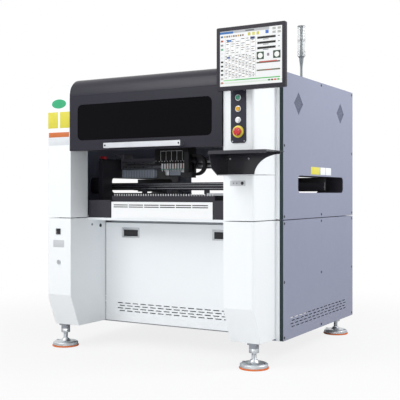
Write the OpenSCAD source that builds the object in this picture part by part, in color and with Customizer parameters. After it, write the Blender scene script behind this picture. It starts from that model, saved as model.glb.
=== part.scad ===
// Floor-standing surface-mount pick and place machine.
// A welded tube frame on four levelling feet carries a cast bed, the board conveyor, the gantry with a
// ten-spindle head, two front columns with the controls, a lifting hood and folded sheet covers.
// Millimetres. X runs along the board conveyor, Y from the operator's side to the rear, Z up.
// The origin is on the floor, under the middle of the cabinet.

/* [Cabinet] */
// Overall width over the side panels
width = 1360; // [1320:10:1420]
// Depth from the column faces to the rear cover
depth = 1290; // [1270:10:1360]
// Thickness of the sheet metal covers
sheet = 2; // [1.5:0.5:3]
// Height of the side panels' top edge
panel_top = 1476; // [1466:2:1480]
// Height of the side panels' bottom edge
panel_bottom = 114; // [110:1:116]
// Height of the joint between upper and lower covers
seam_z = 724; // [718:2:730]
// Gap left open at the joint between covers
seam_gap = 4; // [2:0.5:6]
// Distance from the column faces to the side panels' front edge
side_start = 254; // [240:2:280]
// How far the side panels stand out past the columns
panel_step = 40; // [36:1:44]
// Radius of the rear cover's top bend
rear_shoulder_r = 60; // [40:5:80]

/* [Columns] */
// Width of each front column
column_w = 165; // [150:5:175]
// Height of the columns' flat top
column_top = 1465; // [1460:1:1470]
// Height of the columns' lower edge
column_bottom = 125; // [120:1:130]
// Radius of the columns' top front shoulder
shoulder_r = 90; // [60:5:100]
// Depth of the upper columns' inner wall
upper_inner_d = 150; // [120:5:200]
// Height where the columns' lower front starts to slope back
slope_z = 300; // [260:10:340]
// How far the slope goes back at the bottom
slope_back = 72; // [60:1:73]
// Radius of the columns' outer front edge
column_edge_r = 16; // [8:1:22]

/* [Frame and feet] */
// Side of the square frame tube
tube = 50; // [40:2:54]
// Wall of the frame tube
tube_wall = 3; // [2:0.5:5]
// Height of the frame's underside
frame_bottom = 116; // [116:1:120]
// Height of the frame's bed ring
ring_top = 650; // [620:5:660]
// Height of the frame's top rails
frame_top = 1440; // [1420:5:1450]
// Distance from the columns' outer face to the feet's centre line
foot_inset = 48; // [46:1:50]
// Distance from the column faces to the front feet
foot_front = 100; // [98:1:104]
// Distance from the rear feet to the rear cover
foot_rear = 57; // [50:1:65]
// Diameter of the feet's rubber sole
foot_d = 148; // [130:2:150]
// Thickness of the rubber sole
sole_h = 8; // [6:1:10]
// Thickness of the metal pad
pad_h = 20; // [16:1:22]
// Diameter of the feet's spindle
spindle_d = 25; // [20:1:30]
// Pitch circle of the two floor bolt holes in each foot
foot_bolt_pcd = 112; // [108:1:116]
// Diameter of the floor bolt holes
foot_bolt_d = 11; // [9:0.5:13]

/* [Bed and feeders] */
// Height of the bed's machined top
bed_top = 800; // [780:5:810]
// Distance from the column faces to the bed's front
bed_front = 350; // [346:2:356]
// Half width of the bed
bed_half = 560; // [555:1:566]
// Front edge of the feeder table from the column faces
table_front = 148; // [140:2:160]
// Thickness of the feeder table
table_t = 14; // [10:1:18]
// Left end of the feeder cover
cover_x0 = -310; // [-320:2:-300]
// Right end of the feeder cover
cover_x1 = 331; // [320:1:340]
// Height of the feeder cover
cover_h = 89; // [80:1:96]
// Depth of the feeder cover
cover_d = 24; // [16:1:30]
// Height of the feeder bank
bank_h = 121; // [112:1:126]
// Depth of the feeder bank
bank_d = 170; // [150:5:176]
// Number of feeder places
feeder_count = 40; // [20:1:40]
// Distance between feeder places
feeder_pitch = 16; // [14:0.5:16]

/* [Conveyor] */
// Height of the boards' underside above the floor
board_z = 900; // [896:1:904]
// Distance from the column faces to the fixed rail
fixed_rail_d = 470; // [464:2:480]
// Width of board that the rails are set to
board_w = 400; // [300:5:440]
// Height of the conveyor rails
rail_h = 43; // [36:1:46]
// Thickness of the conveyor rails
rail_t = 12; // [8:1:14]
// Half length of the conveyor rails
rail_half = 660; // [650:1:670]
// Diameter of the width adjusting screws
screw_d = 16; // [12:1:20]
// Distance of the width screws from the middle
screw_x = 420; // [400:5:440]
// Bottom of the side tunnels
tunnel_z0 = 862; // [858:1:868]
// Top of the side tunnels
tunnel_z1 = 953; // [950:1:960]
// Front of the side tunnels from the column faces
tunnel_d0 = 443; // [438:1:448]
// Rear of the side tunnels from the column faces
tunnel_d1 = 1120; // [1110:2:1130]
// Corner radius of the side tunnels
tunnel_r = 24; // [12:2:36]

/* [Gantry] */
// Distance from the column faces to the beam's front face
beam_d = 520; // [516:1:526]
// Depth of the beam
beam_t = 100; // [80:2:110]
// Underside of the beam
beam_z = 946; // [944:1:950]
// Height of the beam
beam_h = 120; // [110:2:124]
// Height of the side frames
side_frame_top = 1050; // [1040:2:1056]
// Distance of the side frames from the middle
side_frame_x = 520; // [516:1:524]
// Height of the Y rails
y_rail_h = 14; // [12:1:16]

/* [Head] */
// Middle of the head along the beam
head_x = -74; // [-90:2:-60]
// Width of the head
head_w = 220; // [200:2:230]
// Underside of the head's housing
head_z = 1030; // [1024:1:1036]
// Top of the head's housing
head_top = 1230; // [1180:5:1240]
// Distance from the column faces to the nozzle row
nozzle_d = 430; // [426:1:436]
// Distance between nozzles
nozzle_pitch = 18; // [16:0.5:19]
// Diameter of the nozzle spindles
spindle_shaft_d = 8; // [6:0.5:9]
// Height of the nozzle tips when raised
tip_z = 982; // [978:1:986]
// Length of a spindle above the housing's underside
shaft_up = 92; // [88:1:100]

/* [Hood] */
// Height of the hood's top
hood_top = 1485; // [1480:1:1490]
// Height of the hood's lower edge
hood_bottom = 1090; // [1086:2:1100]
// How far the hood stands out past the columns
hood_proud = 12; // [8:1:16]
// Radius of the hood's top bend
hood_r = 95; // [80:5:110]
// Gap between the hood and each column
hood_gap = 3; // [2:0.5:5]
// Distance from the column faces to the hood's hinge
hinge_d = 500; // [480:5:520]
// Diameter of the hinge pins
hinge_pin_d = 10; // [8:0.5:12]
// Half width of the window
window_half = 417; // [400:1:430]
// Bottom of the window
window_z0 = 1145; // [1136:1:1150]
// Top of the window
window_z1 = 1338; // [1330:1:1350]
// Corner radius of the window
window_r = 28; // [16:2:36]
// Left end of the handle
handle_x0 = -223; // [-230:1:-200]
// Right end of the handle
handle_x1 = 252; // [240:1:260]
// Height of the handle bar
handle_h = 27; // [22:1:30]

/* [Front door] */
// Distance from the column faces to the front door
door_d = 318; // [314:1:322]
// Lower edge of the front door
door_z0 = 126; // [124:1:130]
// Upper edge of the front door
door_z1 = 690; // [680:1:694]
// Depth of the door's folded edges
door_fold = 20; // [16:1:22]
// Distance of the latches from the middle
latch_x = 297; // [280:1:310]
// Height of the latches' middle
latch_z = 631; // [620:1:640]
// Width of a latch frame
latch_w = 107; // [100:1:112]
// Height of a latch frame
latch_h = 48; // [44:1:52]

/* [Controls] */
// Left edge of the control panel from the column's inner face
panel_inset = 43; // [38:1:45]
// Width of the control panel
panel_w = 82; // [78:1:84]
// Lower edge of the control panel
controls_z0 = 1102; // [1098:1:1106]
// Upper edge of the control panel
controls_z1 = 1366; // [1360:1:1370]
// Height of the stop button
estop_z = 1157; // [1150:1:1160]
// Distance between push buttons
button_pitch = 54; // [48:1:55]
// Diameter of the push buttons
button_d = 22; // [20:0.5:24]
// Diameter of the push buttons' bezels
bezel_d = 30; // [28:0.5:32]
// Diameter of the stop button's head
estop_d = 40; // [36:1:44]
// Diameter of the stop button's ring
ring_d = 60; // [54:1:62]

/* [Monitor] */
// Width of the monitor
monitor_w = 358; // [340:2:370]
// Height of the monitor
monitor_h = 300; // [280:2:310]
// Depth of the monitor's case
monitor_t = 45; // [38:1:50]
// Middle of the monitor across the machine
monitor_x = 666; // [662:1:672]
// Middle of the monitor above the floor
monitor_z = 1496; // [1494:1:1500]
// Distance of the monitor's face in front of the columns
monitor_out = 90; // [86:1:96]
// Diameter of the monitor post
post_d = 35; // [30:1:38]

/* [Keyboard tray] */
// Right edge of the keyboard tray across the machine
tray_x1 = 799; // [780:1:810]
// How far the tray reaches in front of the columns
tray_out = 200; // [180:5:210]
// Height of the tray's top
tray_z = 1057; // [1050:1:1060]
// Height of the mouse shelf
shelf_z = 944; // [940:1:948]
// Thickness of the tray's sheet
tray_t = 3; // [2:0.5:4]

/* [Tower light] */
// Diameter of the tower light
tower_d = 43; // [38:1:48]
// Length of the tower light's pole
pole_h = 121; // [100:1:130]
// Length of the tower light's lens stack
lens_h = 170; // [150:5:180]

/* [Fits] */
// Radial clearance of pins, screws and spindles that turn or slide
run_gap = 0.05; // [0.02:0.01:0.1]
// Clearance around panels, buttons and parts that move past each other
loose_gap = 0.5; // [0.4:0.1:1]

/* [Hidden] */
$fn = 64;

half = width / 2;
front = -depth / 2;
rear = depth / 2;
column_x1 = half - panel_step;
column_x0 = column_x1 - column_w;
foot_x = column_x1 - foot_inset;
frame_x = foot_x + tube / 2;
foot_y0 = front + foot_front;
foot_y1 = rear - foot_rear;
cross_y = front + bed_front + tube / 2 - 5;
bed_y0 = front + bed_front;
bed_y1 = foot_y1;
table_z0 = bed_top - 76 - table_t;
table_z1 = table_z0 + table_t;
bank_y0 = front + table_front + cover_d + 2;
rail_z0 = board_z - 22;
rail_z1 = rail_z0 + rail_h;
fixed_y = front + fixed_rail_d;
movable_y = fixed_y + board_w;
screw_z = (bed_top + rail_z0) / 2;
frame_t = 30;
rail_w = 20;
beam_y0 = front + beam_d;
beam_y1 = beam_y0 + beam_t;
beam_top = beam_z + beam_h;
beam_half = side_frame_x - 10;
y_rail_top = side_frame_top + y_rail_h;
carriage_top = y_rail_top + 20;
head_x0 = head_x - head_w / 2;
head_x1 = head_x + head_w / 2;
nozzle_y = front + nozzle_d;
head_y0 = nozzle_y - 35;
head_y1 = nozzle_y + 56;
hood_half = column_x0 - hood_gap;
hood_y0 = front - hood_proud;
hinge_y = front + hinge_d;
knuckle_r = hinge_pin_d / 2 + 7;
hinge_z = hood_top - knuckle_r;
hinge_x = 300;
panel_x0 = column_x0 + panel_inset;
buttons_x = panel_x0 + panel_w / 2;
face_t = 4;
bezel_t = 4;
door_y = front + door_d;
door_half = column_x0 - 3;
door_pin_y = door_y + 10;
door_pin_z = door_z0 + 10;
monitor_y0 = front - monitor_out;
post_y = front + shoulder_r + 24;
post_x = column_x1 - 50;
tilt_y = monitor_y0 + monitor_t + 12;

// Box between two corners
module block(x0, x1, y0, y1, z0, z1) {
    translate([x0, y0, z0]) cube([x1 - x0, y1 - y0, z1 - z0]);
}

// Children drawn in (Y, Z), extruded from x0 to x1
module along_x(x0, x1) {
    translate([x0, 0, 0]) rotate([90, 0, 90]) linear_extrude(x1 - x0) children();
}

// Children drawn in (X, Z), extruded from y0 to y1
module along_y(y0, y1) {
    translate([0, y1, 0]) rotate([90, 0, 0]) linear_extrude(y1 - y0) children();
}

// Rod along X, Y or Z from one end to the other
module rod_x(x0, x1, y, z, r) {
    translate([x0, y, z]) rotate([0, 90, 0]) cylinder(r = r, h = x1 - x0);
}
module rod_y(x, y0, y1, z, r) {
    translate([x, y1, z]) rotate([90, 0, 0]) cylinder(r = r, h = y1 - y0);
}
module rod_z(x, y, z0, z1, r) {
    translate([x, y, z0]) cylinder(r = r, h = z1 - z0);
}

// The children and their mirror image on the other side of the machine
module both_sides() {
    children();
    mirror([1, 0, 0]) children();
}

// Rectangle between two corners with round corners
module round_rect(x0, x1, y0, y1, r) {
    translate([x0 + r, y0]) square([x1 - x0 - 2 * r, y1 - y0]);
    translate([x0, y0 + r]) square([x1 - x0, y1 - y0 - 2 * r]);
    for (x = [x0 + r, x1 - r]) {
        for (y = [y0 + r, y1 - r]) {
            translate([x, y]) circle(r = r);
        }
    }
}

// Rectangle whose corner at (x0, y1) is an arc, the section of a bent cover
module shoulder(x0, x1, y0, y1, r) {
    translate([x0, y0]) square([x1 - x0, y1 - y0 - r]);
    translate([x0 + r, y0]) square([x1 - x0 - r, y1 - y0]);
    translate([x0 + r, y1 - r]) circle(r = r);
}

// Staggered rows of slots in the (X, Y) plane, filling a width
module slot_rows(x0, x1, rows, row_gap, pitch, slot_l, slot_h) {
    count = floor((x1 - x0 - slot_l - pitch / 4) / pitch) + 1;
    for (row = [0 : rows - 1]) {
        shift = row % 2 == 0 ? pitch / 4 : 0;
        for (i = [0 : count - 1]) {
            translate([x0 + shift + i * pitch, row * row_gap]) square([slot_l, slot_h]);
        }
    }
}

// ---- Frame, bed and covers ----

// Outside (inset 0) or inside (inset = wall) of every frame tube
module frame_tubes(inset) {
    r = tube / 2 - inset;
    for (y = [foot_y0, foot_y1]) {
        block(foot_x - r, foot_x + r, y - r, y + r, frame_bottom + inset, frame_top - inset);
    }
    for (z = [frame_bottom, ring_top - tube, frame_top - tube]) {
        block(foot_x - r, foot_x + r, foot_y0 - r, foot_y1 + r, z + inset, z + tube - inset);
    }
    for (z = [frame_bottom, ring_top - tube]) {
        for (y = [cross_y, foot_y1]) {
            block(-1, foot_x + r, y - r, y + r, z + inset, z + tube - inset);
        }
    }
    for (y = [hinge_y + tube, foot_y1]) {
        block(-1, foot_x + r, y - r, y + r, frame_top - tube + inset, frame_top - inset);
    }
}

module base_frame() {
    lug_x = door_half - 75;
    color("#8d9199") {
        difference() {
            union() {
                both_sides() frame_tubes(0);
                both_sides() {
                    for (y = [foot_y0, foot_y1]) {
                        rod_z(foot_x, y, frame_bottom - 18, frame_bottom + 1, tube / 2 - 0.5);
                    }
                }
            }
            both_sides() frame_tubes(tube_wall);
            both_sides() {
                for (y = [foot_y0, foot_y1]) {
                    rod_z(foot_x, y, frame_bottom - 20, frame_bottom + tube_wall + 1,
                          spindle_d / 2 + run_gap);
                }
            }
        }
        both_sides() {
            block(lug_x - 6, lug_x + 6, door_pin_y, cross_y - tube / 2, door_pin_z - 6, door_pin_z + 6);
            rod_x(lug_x - 15, lug_x + 15, door_pin_y, door_pin_z, 4);
        }
    }
}

module machine_bed() {
    rib = 20;
    bay_x = (2 * bed_half - 4 * rib) / 3;
    bay_y = (bed_y1 - bed_y0 - 4 * rib) / 3;
    color("#9aa0a6") difference() {
        block(-bed_half, bed_half, bed_y0, bed_y1, ring_top, bed_top);
        for (i = [0 : 2]) {
            for (j = [0 : 2]) {
                translate([-bed_half + rib + i * (bay_x + rib), bed_y0 + rib + j * (bay_y + rib), ring_top - 1])
                    cube([bay_x, bay_y, bed_top - ring_top - 25]);
            }
        }
    }
}

// Cut of the board tunnel in a side wall, in (Y, Z)
module tunnel_section(grow) {
    round_rect(front + tunnel_d0 - grow, front + tunnel_d1 + grow, tunnel_z0 - grow,
               tunnel_z1 + grow, tunnel_r + grow);
}

module side_frames() {
    wall = 3;
    rail_x = side_frame_x + frame_t / 2;
    color("#39353f") both_sides() {
        difference() {
            along_x(side_frame_x, side_frame_x + frame_t)
                translate([bed_y0, bed_top]) square([depth - bed_front - 90, side_frame_top - bed_top]);
            along_x(side_frame_x - 1, side_frame_x + frame_t + 1) tunnel_section(0);
        }
        difference() {
            along_x(side_frame_x + frame_t, half - sheet) tunnel_section(wall);
            along_x(side_frame_x, half) tunnel_section(0);
        }
        block(rail_x - rail_w / 2, rail_x + rail_w / 2, bed_y0, rear - 90, side_frame_top, y_rail_top);
    }
}

// Folded pan of a side panel on the right side, open towards the frame
module side_pan(z0, z1) {
    difference() {
        block(frame_x, half, front + side_start, rear, z0, z1);
        block(frame_x - 1, half - sheet, front + side_start + sheet, rear - sheet, z0 + sheet, z1 - sheet);
    }
}

guard_y = [front + side_start + 195, rear - 217];
guard_z = panel_top - 147;
guard_side = 84;

module upper_panel() {
    difference() {
        side_pan(seam_z + seam_gap / 2, panel_top);
        along_x(half - 3 * sheet, half + 1) tunnel_section(0);
        for (y = guard_y) {
            translate([half - 3 * sheet, y, guard_z]) rotate([45, 0, 0])
                translate([0, -guard_side / 2, -guard_side / 2]) cube([4 * sheet, guard_side, guard_side]);
        }
    }
}

module lower_panel() {
    difference() {
        side_pan(panel_bottom, seam_z - seam_gap / 2);
        along_x(half - 3 * sheet, half + 1)
            translate([0, panel_bottom + 57]) slot_rows(front + side_start + 90, rear - 122, 4, 16, 59, 40, 5);
    }
}

module side_panel_right_upper() { color("#9fa4b8") upper_panel(); }
module side_panel_right_lower() { color("#9fa4b8") lower_panel(); }
module side_panel_left_upper() { color("#9fa4b8") mirror([1, 0, 0]) upper_panel(); }
module side_panel_left_lower() { color("#9fa4b8") mirror([1, 0, 0]) lower_panel(); }

module fan_guards() {
    lap = 8;
    holes = 7;
    pitch = guard_side / (holes + 0.4);
    side = guard_side + 2 * lap;
    color("#50535c") both_sides() {
        for (y = guard_y) {
            translate([half - 2 * sheet, y, guard_z]) rotate([45, 0, 0]) rotate([90, 0, 90])
                linear_extrude(sheet) difference() {
                    translate([-side / 2, -side / 2]) square(side);
                    for (i = [0 : holes - 1]) {
                        for (j = [0 : holes - 1]) {
                            translate([(i - (holes - 1) / 2) * pitch, (j - (holes - 1) / 2) * pitch])
                                circle(d = pitch * 0.66, $fn = 24);
                        }
                    }
                }
        }
    }
}

// Section of the rear cover in (Y, Z), drawn mirrored so that its bend is at the rear
module rear_section(inset) {
    mirror([1, 0]) shoulder(-rear + inset, -(hinge_y + knuckle_r + 3) + inset, seam_z + seam_gap / 2,
                            panel_top - inset, rear_shoulder_r - inset);
}

module rear_cover() {
    opening_half = column_x0 - 5;
    color("#c9ccd6") {
        difference() {
            along_x(-frame_x, frame_x) rear_section(0);
            along_x(-frame_x - 1, frame_x + 1) rear_section(sheet);
            block(-opening_half, opening_half, rear - 3 * sheet, rear + 1, table_z1 + bank_h + 5, hood_bottom);
        }
        both_sides() {
            block(column_x0, frame_x, front + side_start, hinge_y + knuckle_r + 3, panel_top - sheet, panel_top);
            block(column_x0, column_x0 + sheet, front + side_start, hinge_y + knuckle_r + 3,
                  column_top - hood_r, panel_top);
            for (z = [frame_top - tube, ring_top + 100]) {
                block(foot_x - 15, foot_x + 15, foot_y1 + tube / 2, rear - sheet, z, z + 30);
            }
            for (x = [hinge_x - 20, hinge_x + 20]) {
                difference() {
                    block(x - 4, x + 4, hinge_y - 9, hinge_y + tube + 10, frame_top, panel_top - sheet);
                    block(x - 5, x + 5, hinge_y - 10, hinge_y + tube / 2 + 2, frame_top - 1, hinge_z - 14);
                }
            }
            rod_x(hinge_x - 24, hinge_x + 24, hinge_y, hinge_z, hinge_pin_d / 2);
        }
    }
}

module rear_panel() {
    color("#9fa4b8") {
        difference() {
            block(-frame_x, frame_x, rear - 20, rear, panel_bottom, seam_z - seam_gap / 2);
            block(-frame_x + sheet, frame_x - sheet, rear - 21, rear - sheet, panel_bottom + sheet,
                  seam_z - seam_gap / 2 - sheet);
            along_y(rear - 3 * sheet, rear + 1)
                translate([0, panel_bottom + 330]) slot_rows(-390, 390, 6, 18, 59, 40, 6);
        }
        both_sides() block(foot_x - 15, foot_x + 15, foot_y1 + tube / 2, rear - sheet, ring_top - 60, ring_top - 30);
    }
}

// ---- Columns ----

// Section of a column in (Y, Z): flat face, round shoulder and a slope at the bottom
module column_section(inset, d1, z0, z1) {
    difference() {
        shoulder(front + inset, front + d1, z0, z1 - inset, max(shoulder_r - inset, 1));
        translate([inset, 0]) polygon([[front - 1, slope_z], [front, slope_z], [front + slope_back, column_bottom],
                 [front + slope_back, column_bottom - 20], [front - 1, column_bottom - 20]]);
    }
}

// Plan of the right column, with its outer front edge rounded
module column_plan(inset) {
    r = column_edge_r - inset;
    x1 = column_x1 - inset;
    y0 = front + inset;
    translate([column_x0 - 1, y0]) square([x1 - r - column_x0 + 1, side_start]);
    translate([column_x0 - 1, y0 + r]) square([x1 - column_x0 + 1, side_start]);
    translate([x1 - r, y0 + r]) circle(r = r);
}

// Bent cover of the right column between two heights
module column_shell(z0, z1, top, inner_d) {
    difference() {
        intersection() {
            along_x(column_x0, column_x1) column_section(0, side_start, z0, top);
            translate([0, 0, z0]) linear_extrude(z1 - z0) column_plan(0);
        }
        intersection() {
            along_x(column_x0 + sheet, column_x1 - sheet) column_section(sheet, side_start + 1, z0 - 1, top);
            translate([0, 0, z0 - 1]) linear_extrude(z1 - z0 + 2) column_plan(sheet);
        }
        block(column_x0 - 1, column_x0 + 2 * sheet, front + inner_d, rear, z0 - 1,
              top == column_top ? top - sheet : z1 + 1);
    }
}

// Spacers that hold a column cover on the frame's front upright
module column_stands(heights) {
    for (z = heights) {
        block(foot_x - 12, foot_x + 12, front + sheet, foot_y0 - tube / 2, z, z + 24);
    }
}

module upper_column() {
    column_shell(seam_z + seam_gap / 2, column_top, column_top, upper_inner_d);
    column_stands([seam_z + 60, controls_z0 - 60]);
}

module lower_column() {
    z1 = seam_z - seam_gap / 2;
    column_shell(column_bottom, z1, z1 + shoulder_r + 5, side_start);
    block(column_x0, column_x0 + sheet, front + side_start - 1, front + door_d, column_bottom, z1);
    column_stands([slope_z + 20, seam_z - 60]);
}

module column_right_upper() {
    color("#f2f6f9") {
        difference() {
            upper_column();
            for (i = [0 : 3]) {
                rod_y(buttons_x, front - 1, front + sheet + 1, button_z(i), button_d / 2 + 1.5);
            }
        }
        difference() {
            rod_z(post_x, post_y, column_top, monitor_z + 4, post_d / 2);
            rod_z(post_x, post_y, column_top + 6, monitor_z + 5, post_d / 2 - 4);
        }
        difference() {
            rod_z(post_x, post_y, column_top, column_top + 6, post_d / 2 + 14);
            rod_z(post_x, post_y, column_top - 1, column_top + 7, post_d / 2);
        }
    }
}

module column_right_lower() { color("#f2f6f9") lower_column(); }
module column_left_upper() { color("#f2f6f9") mirror([1, 0, 0]) upper_column(); }

rocker_x = -(column_x0 + 85);
rocker_z = seam_z - 75;
rocker_w = 23;
rocker_r = 12;
lock_z = seam_z - 244;
lock_x = -(column_x0 + 82);
lock_r = 9;

module column_left_lower() {
    color("#f2f6f9") {
        difference() {
            mirror([1, 0, 0]) lower_column();
            block(rocker_x - rocker_w / 2 - loose_gap, rocker_x + rocker_w / 2 + loose_gap, front - 1,
                  front + sheet + 1, rocker_z - rocker_r - loose_gap, rocker_z + rocker_r + loose_gap);
            rod_y(lock_x, front - 1, front + sheet + 1, lock_z, lock_r + run_gap);
        }
        difference() {
            block(rocker_x - 15, rocker_x + 15, front - 2, front, rocker_z - 15.5, rocker_z + 15.5);
            block(rocker_x - rocker_w / 2 - loose_gap, rocker_x + rocker_w / 2 + loose_gap, front - 3,
                  front + 1, rocker_z - rocker_r - loose_gap, rocker_z + rocker_r + loose_gap);
        }
    }
}

module power_rocker() {
    tilt = 8;
    color("#1b1b1d") translate([0, front + 6, rocker_z]) rotate([tilt, 0, 0])
        along_x(rocker_x - rocker_w / 2, rocker_x + rocker_w / 2) intersection() {
            circle(r = rocker_r);
            polygon([[-9, rocker_r + 1], [-6.5, 0], [-9, -rocker_r - 1], [rocker_r, -rocker_r - 1],
                     [rocker_r, rocker_r + 1]]);
        }
}

module key_lock() {
    color("#9b9ea3") difference() {
        union() {
            rod_y(lock_x, front - 5, front - loose_gap, lock_z, lock_r + 3.5);
            rod_y(lock_x, front - 1, front + 24, lock_z, lock_r);
            block(lock_x - 6, lock_x + 28, front + 24, front + 27, lock_z - 6, lock_z + 6);
        }
        block(lock_x - 1, lock_x + 1, front - 6, front - 1, lock_z - 5, lock_z + 5);
    }
}

// ---- Feeders and conveyor ----

module feeder_table() {
    color("#e9eef2") block(-column_x0, column_x0, front + table_front, bed_y0, table_z0, table_z1);
}

module feeder_cover() {
    y0 = front + table_front + 2;
    y1 = bank_y0;
    z1 = table_z1 + cover_h;
    slot_l = 95;
    pitch = (cover_x1 - cover_x0 - 36) / 6;
    color("#f2f6f9") difference() {
        block(cover_x0, cover_x1, y0, y1, table_z1, z1);
        block(cover_x0 + sheet, cover_x1 - sheet, y0 + sheet, y1 + 1, table_z1 - 1, z1 - sheet);
        for (i = [0 : 5]) {
            for (z = [z1 - 20, z1 - 31]) {
                block(cover_x0 + 15 + i * pitch, cover_x0 + 15 + i * pitch + slot_l, y0 - 1, y0 + sheet + 1, z, z + 5);
            }
        }
    }
}

module feeder_bank() {
    z1 = table_z1 + bank_h;
    block_top = table_z1 + cover_h + 9;
    span = (feeder_count - 1) * feeder_pitch;
    color("#39353f") {
        difference() {
            block(-span / 2 - 12, cover_x1, bank_y0, bank_y0 + bank_d, table_z1, z1);
            for (i = [0 : feeder_count - 2]) {
                block(-span / 2 + (i + 0.5) * feeder_pitch - 1.5, -span / 2 + (i + 0.5) * feeder_pitch + 1.5,
                      bank_y0 + 22, bank_y0 + bank_d + 1, z1 - 8, z1 + 1);
            }
        }
        block(-column_x0 + 8, -span / 2 - 12, bank_y0, bank_y0 + bank_d, table_z1, block_top);
        block(-column_x0 + 8, cover_x0 - 6, front + table_front + 2, bank_y0, table_z1, block_top);
        block(cover_x1, column_x0, front + table_front + 2, bank_y0 + bank_d, table_z1, block_top);
    }
    color("#d8dadd") {
        for (i = [0 : feeder_count - 1]) {
            rod_z(-span / 2 + i * feeder_pitch, bank_y0 + 12, z1, z1 + 10, 3);
        }
    }
}

// Conveyor rail with its inner face at y = 0, belt ledge and board lip towards +Y
module rail_section() {
    lip = 4;
    ledge = 9;
    translate([-rail_t, rail_z0]) square([rail_t, rail_h]);
    translate([-rail_t, rail_z1 - 5]) square([rail_t + lip, 5]);
    translate([-rail_t, board_z - 10]) square([rail_t + ledge, 8]);
}

module conveyor_rail() {
    color("#2d2d33") along_x(-rail_half, rail_half) rail_section();
    color("#1a4f3a") block(-rail_half + 6, rail_half - 6, 0.5, 7, board_z - 2, board_z);
}

module conveyor_fixed_rail() {
    bearing = screw_d / 2 + 12;
    screw_y0 = fixed_y - rail_t;
    screw_y1 = front + tunnel_d1 + 50;
    translate([0, fixed_y, 0]) conveyor_rail();
    color("#b9bdc3") both_sides() {
        for (x = [120, 300]) {
            block(x - 15, x + 15, fixed_y - rail_t, fixed_y, bed_top, rail_z0);
        }
        rod_y(screw_x, screw_y0, screw_y1, screw_z, screw_d / 2);
        for (y = [screw_y0 - 6, screw_y1 - 24]) {
            difference() {
                block(screw_x - bearing, screw_x + bearing, y, y + 30, bed_top, screw_z + bearing);
                rod_y(screw_x, screw_y0, screw_y1, screw_z, screw_d / 2);
            }
        }
    }
}

module conveyor_movable_rail() {
    nut = screw_d / 2 + 8;
    translate([0, movable_y, 0]) mirror([0, 1, 0]) conveyor_rail();
    color("#b9bdc3") both_sides() {
        difference() {
            block(screw_x - nut, screw_x + nut, movable_y, movable_y + 36, screw_z - nut, screw_z + nut);
            rod_y(screw_x, movable_y - 1, movable_y + 37, screw_z, screw_d / 2 + run_gap);
        }
        block(screw_x - nut, screw_x + nut, movable_y, movable_y + rail_t, screw_z + nut, rail_z0);
    }
}

module up_camera() {
    x = head_x + 40;
    y = (bank_y0 + bank_d + fixed_y) / 2 - 6;
    color("#2b2b30") {
        difference() {
            rod_z(x, y, bed_top, bed_top + 62, 34);
            rod_z(x, y, bed_top + 40, bed_top + 63, 26);
        }
        rod_z(x, y, bed_top + 40, bed_top + 52, 14);
    }
}

module nozzle_station() {
    holes = 10;
    x0 = 180;
    x1 = x0 + (holes + 1) * nozzle_pitch;
    y0 = bank_y0 + bank_d + 12;
    y1 = fixed_y - rail_t - 12;
    color("#aab0b5") difference() {
        block(x0, x1, y0, y1, bed_top, bed_top + 60);
        for (i = [0 : holes - 1]) {
            for (y = [y0 + 22, y1 - 22]) {
                rod_z(x0 + (i + 1) * nozzle_pitch, y, bed_top + 40, bed_top + 61, 6);
            }
        }
    }
}

module control_unit() {
    floor_z = frame_bottom + tube;
    y0 = cross_y - tube / 2;
    color("#b7bcc2") block(-foot_x + 60, foot_x - 60, y0, foot_y1 + tube / 2, floor_z, floor_z + 3);
    color("#d7dbdf") {
        block(-440, -240, y0 + 90, y0 + 520, floor_z + 3, floor_z + 383);
        block(220, 460, y0 + 90, y0 + 340, floor_z + 3, floor_z + 263);
        for (i = [0 : 4]) {
            block(-180 + i * 62, -130 + i * 62, y0 + 120, y0 + 290, floor_z + 3, floor_z + 173);
        }
    }
}

module rear_inlets() {
    z = panel_bottom + 120;
    air_x = 380;
    power_x = -380;
    color("#2b2b30") difference() {
        block(power_x - 45, power_x + 45, rear, rear + 14, z - 35, z + 35);
        block(power_x - 25, power_x + 25, rear + 3, rear + 15, z - 16, z + 16);
    }
    color("#b8bcc0") {
        block(air_x - 30, air_x + 30, rear, rear + 4, z - 30, z + 30);
        difference() {
            rod_y(air_x, rear + 4, rear + 24, z, 9);
            rod_y(air_x, rear + 8, rear + 25, z, 4.1);
        }
    }
}

// ---- Gantry and head ----

module gantry_beam() {
    end_t = 20;
    carriage_l = 80;
    beam_mid = (beam_y0 + beam_y1) / 2;
    rail_x = side_frame_x + frame_t / 2;
    color("#8f95a8") {
        difference() {
            block(-beam_half, beam_half, beam_y0, beam_y1, beam_z, beam_top);
            block(-beam_half + end_t, beam_half - end_t, beam_y0 + 12, beam_y1 - 12, beam_z + 12, beam_top - 12);
            for (i = [0 : 4]) {
                block(-380 + i * 160, -260 + i * 160, beam_y1 - 13, beam_y1 + 1, beam_z + 25, beam_top - 25);
            }
        }
        both_sides() {
            block(beam_half - end_t, beam_half, beam_y0, beam_y1, beam_top, carriage_top + 12);
            block(beam_half, rail_x + 20, beam_y0, beam_y1, carriage_top, carriage_top + 12);
        }
    }
    color("#c9ccd0") {
        for (z = [beam_z + 20, beam_top - 32]) {
            block(-beam_half + 25, beam_half - 25, beam_y0 - 10, beam_y0, z, z + 12);
        }
        both_sides() difference() {
            block(rail_x - 20, rail_x + 20, beam_mid - carriage_l / 2, beam_mid + carriage_l / 2,
                  side_frame_top + 3, carriage_top);
            block(rail_x - rail_w / 2 - loose_gap, rail_x + rail_w / 2 + loose_gap, front, rear,
                  side_frame_top, y_rail_top + loose_gap);
        }
    }
}

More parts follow.
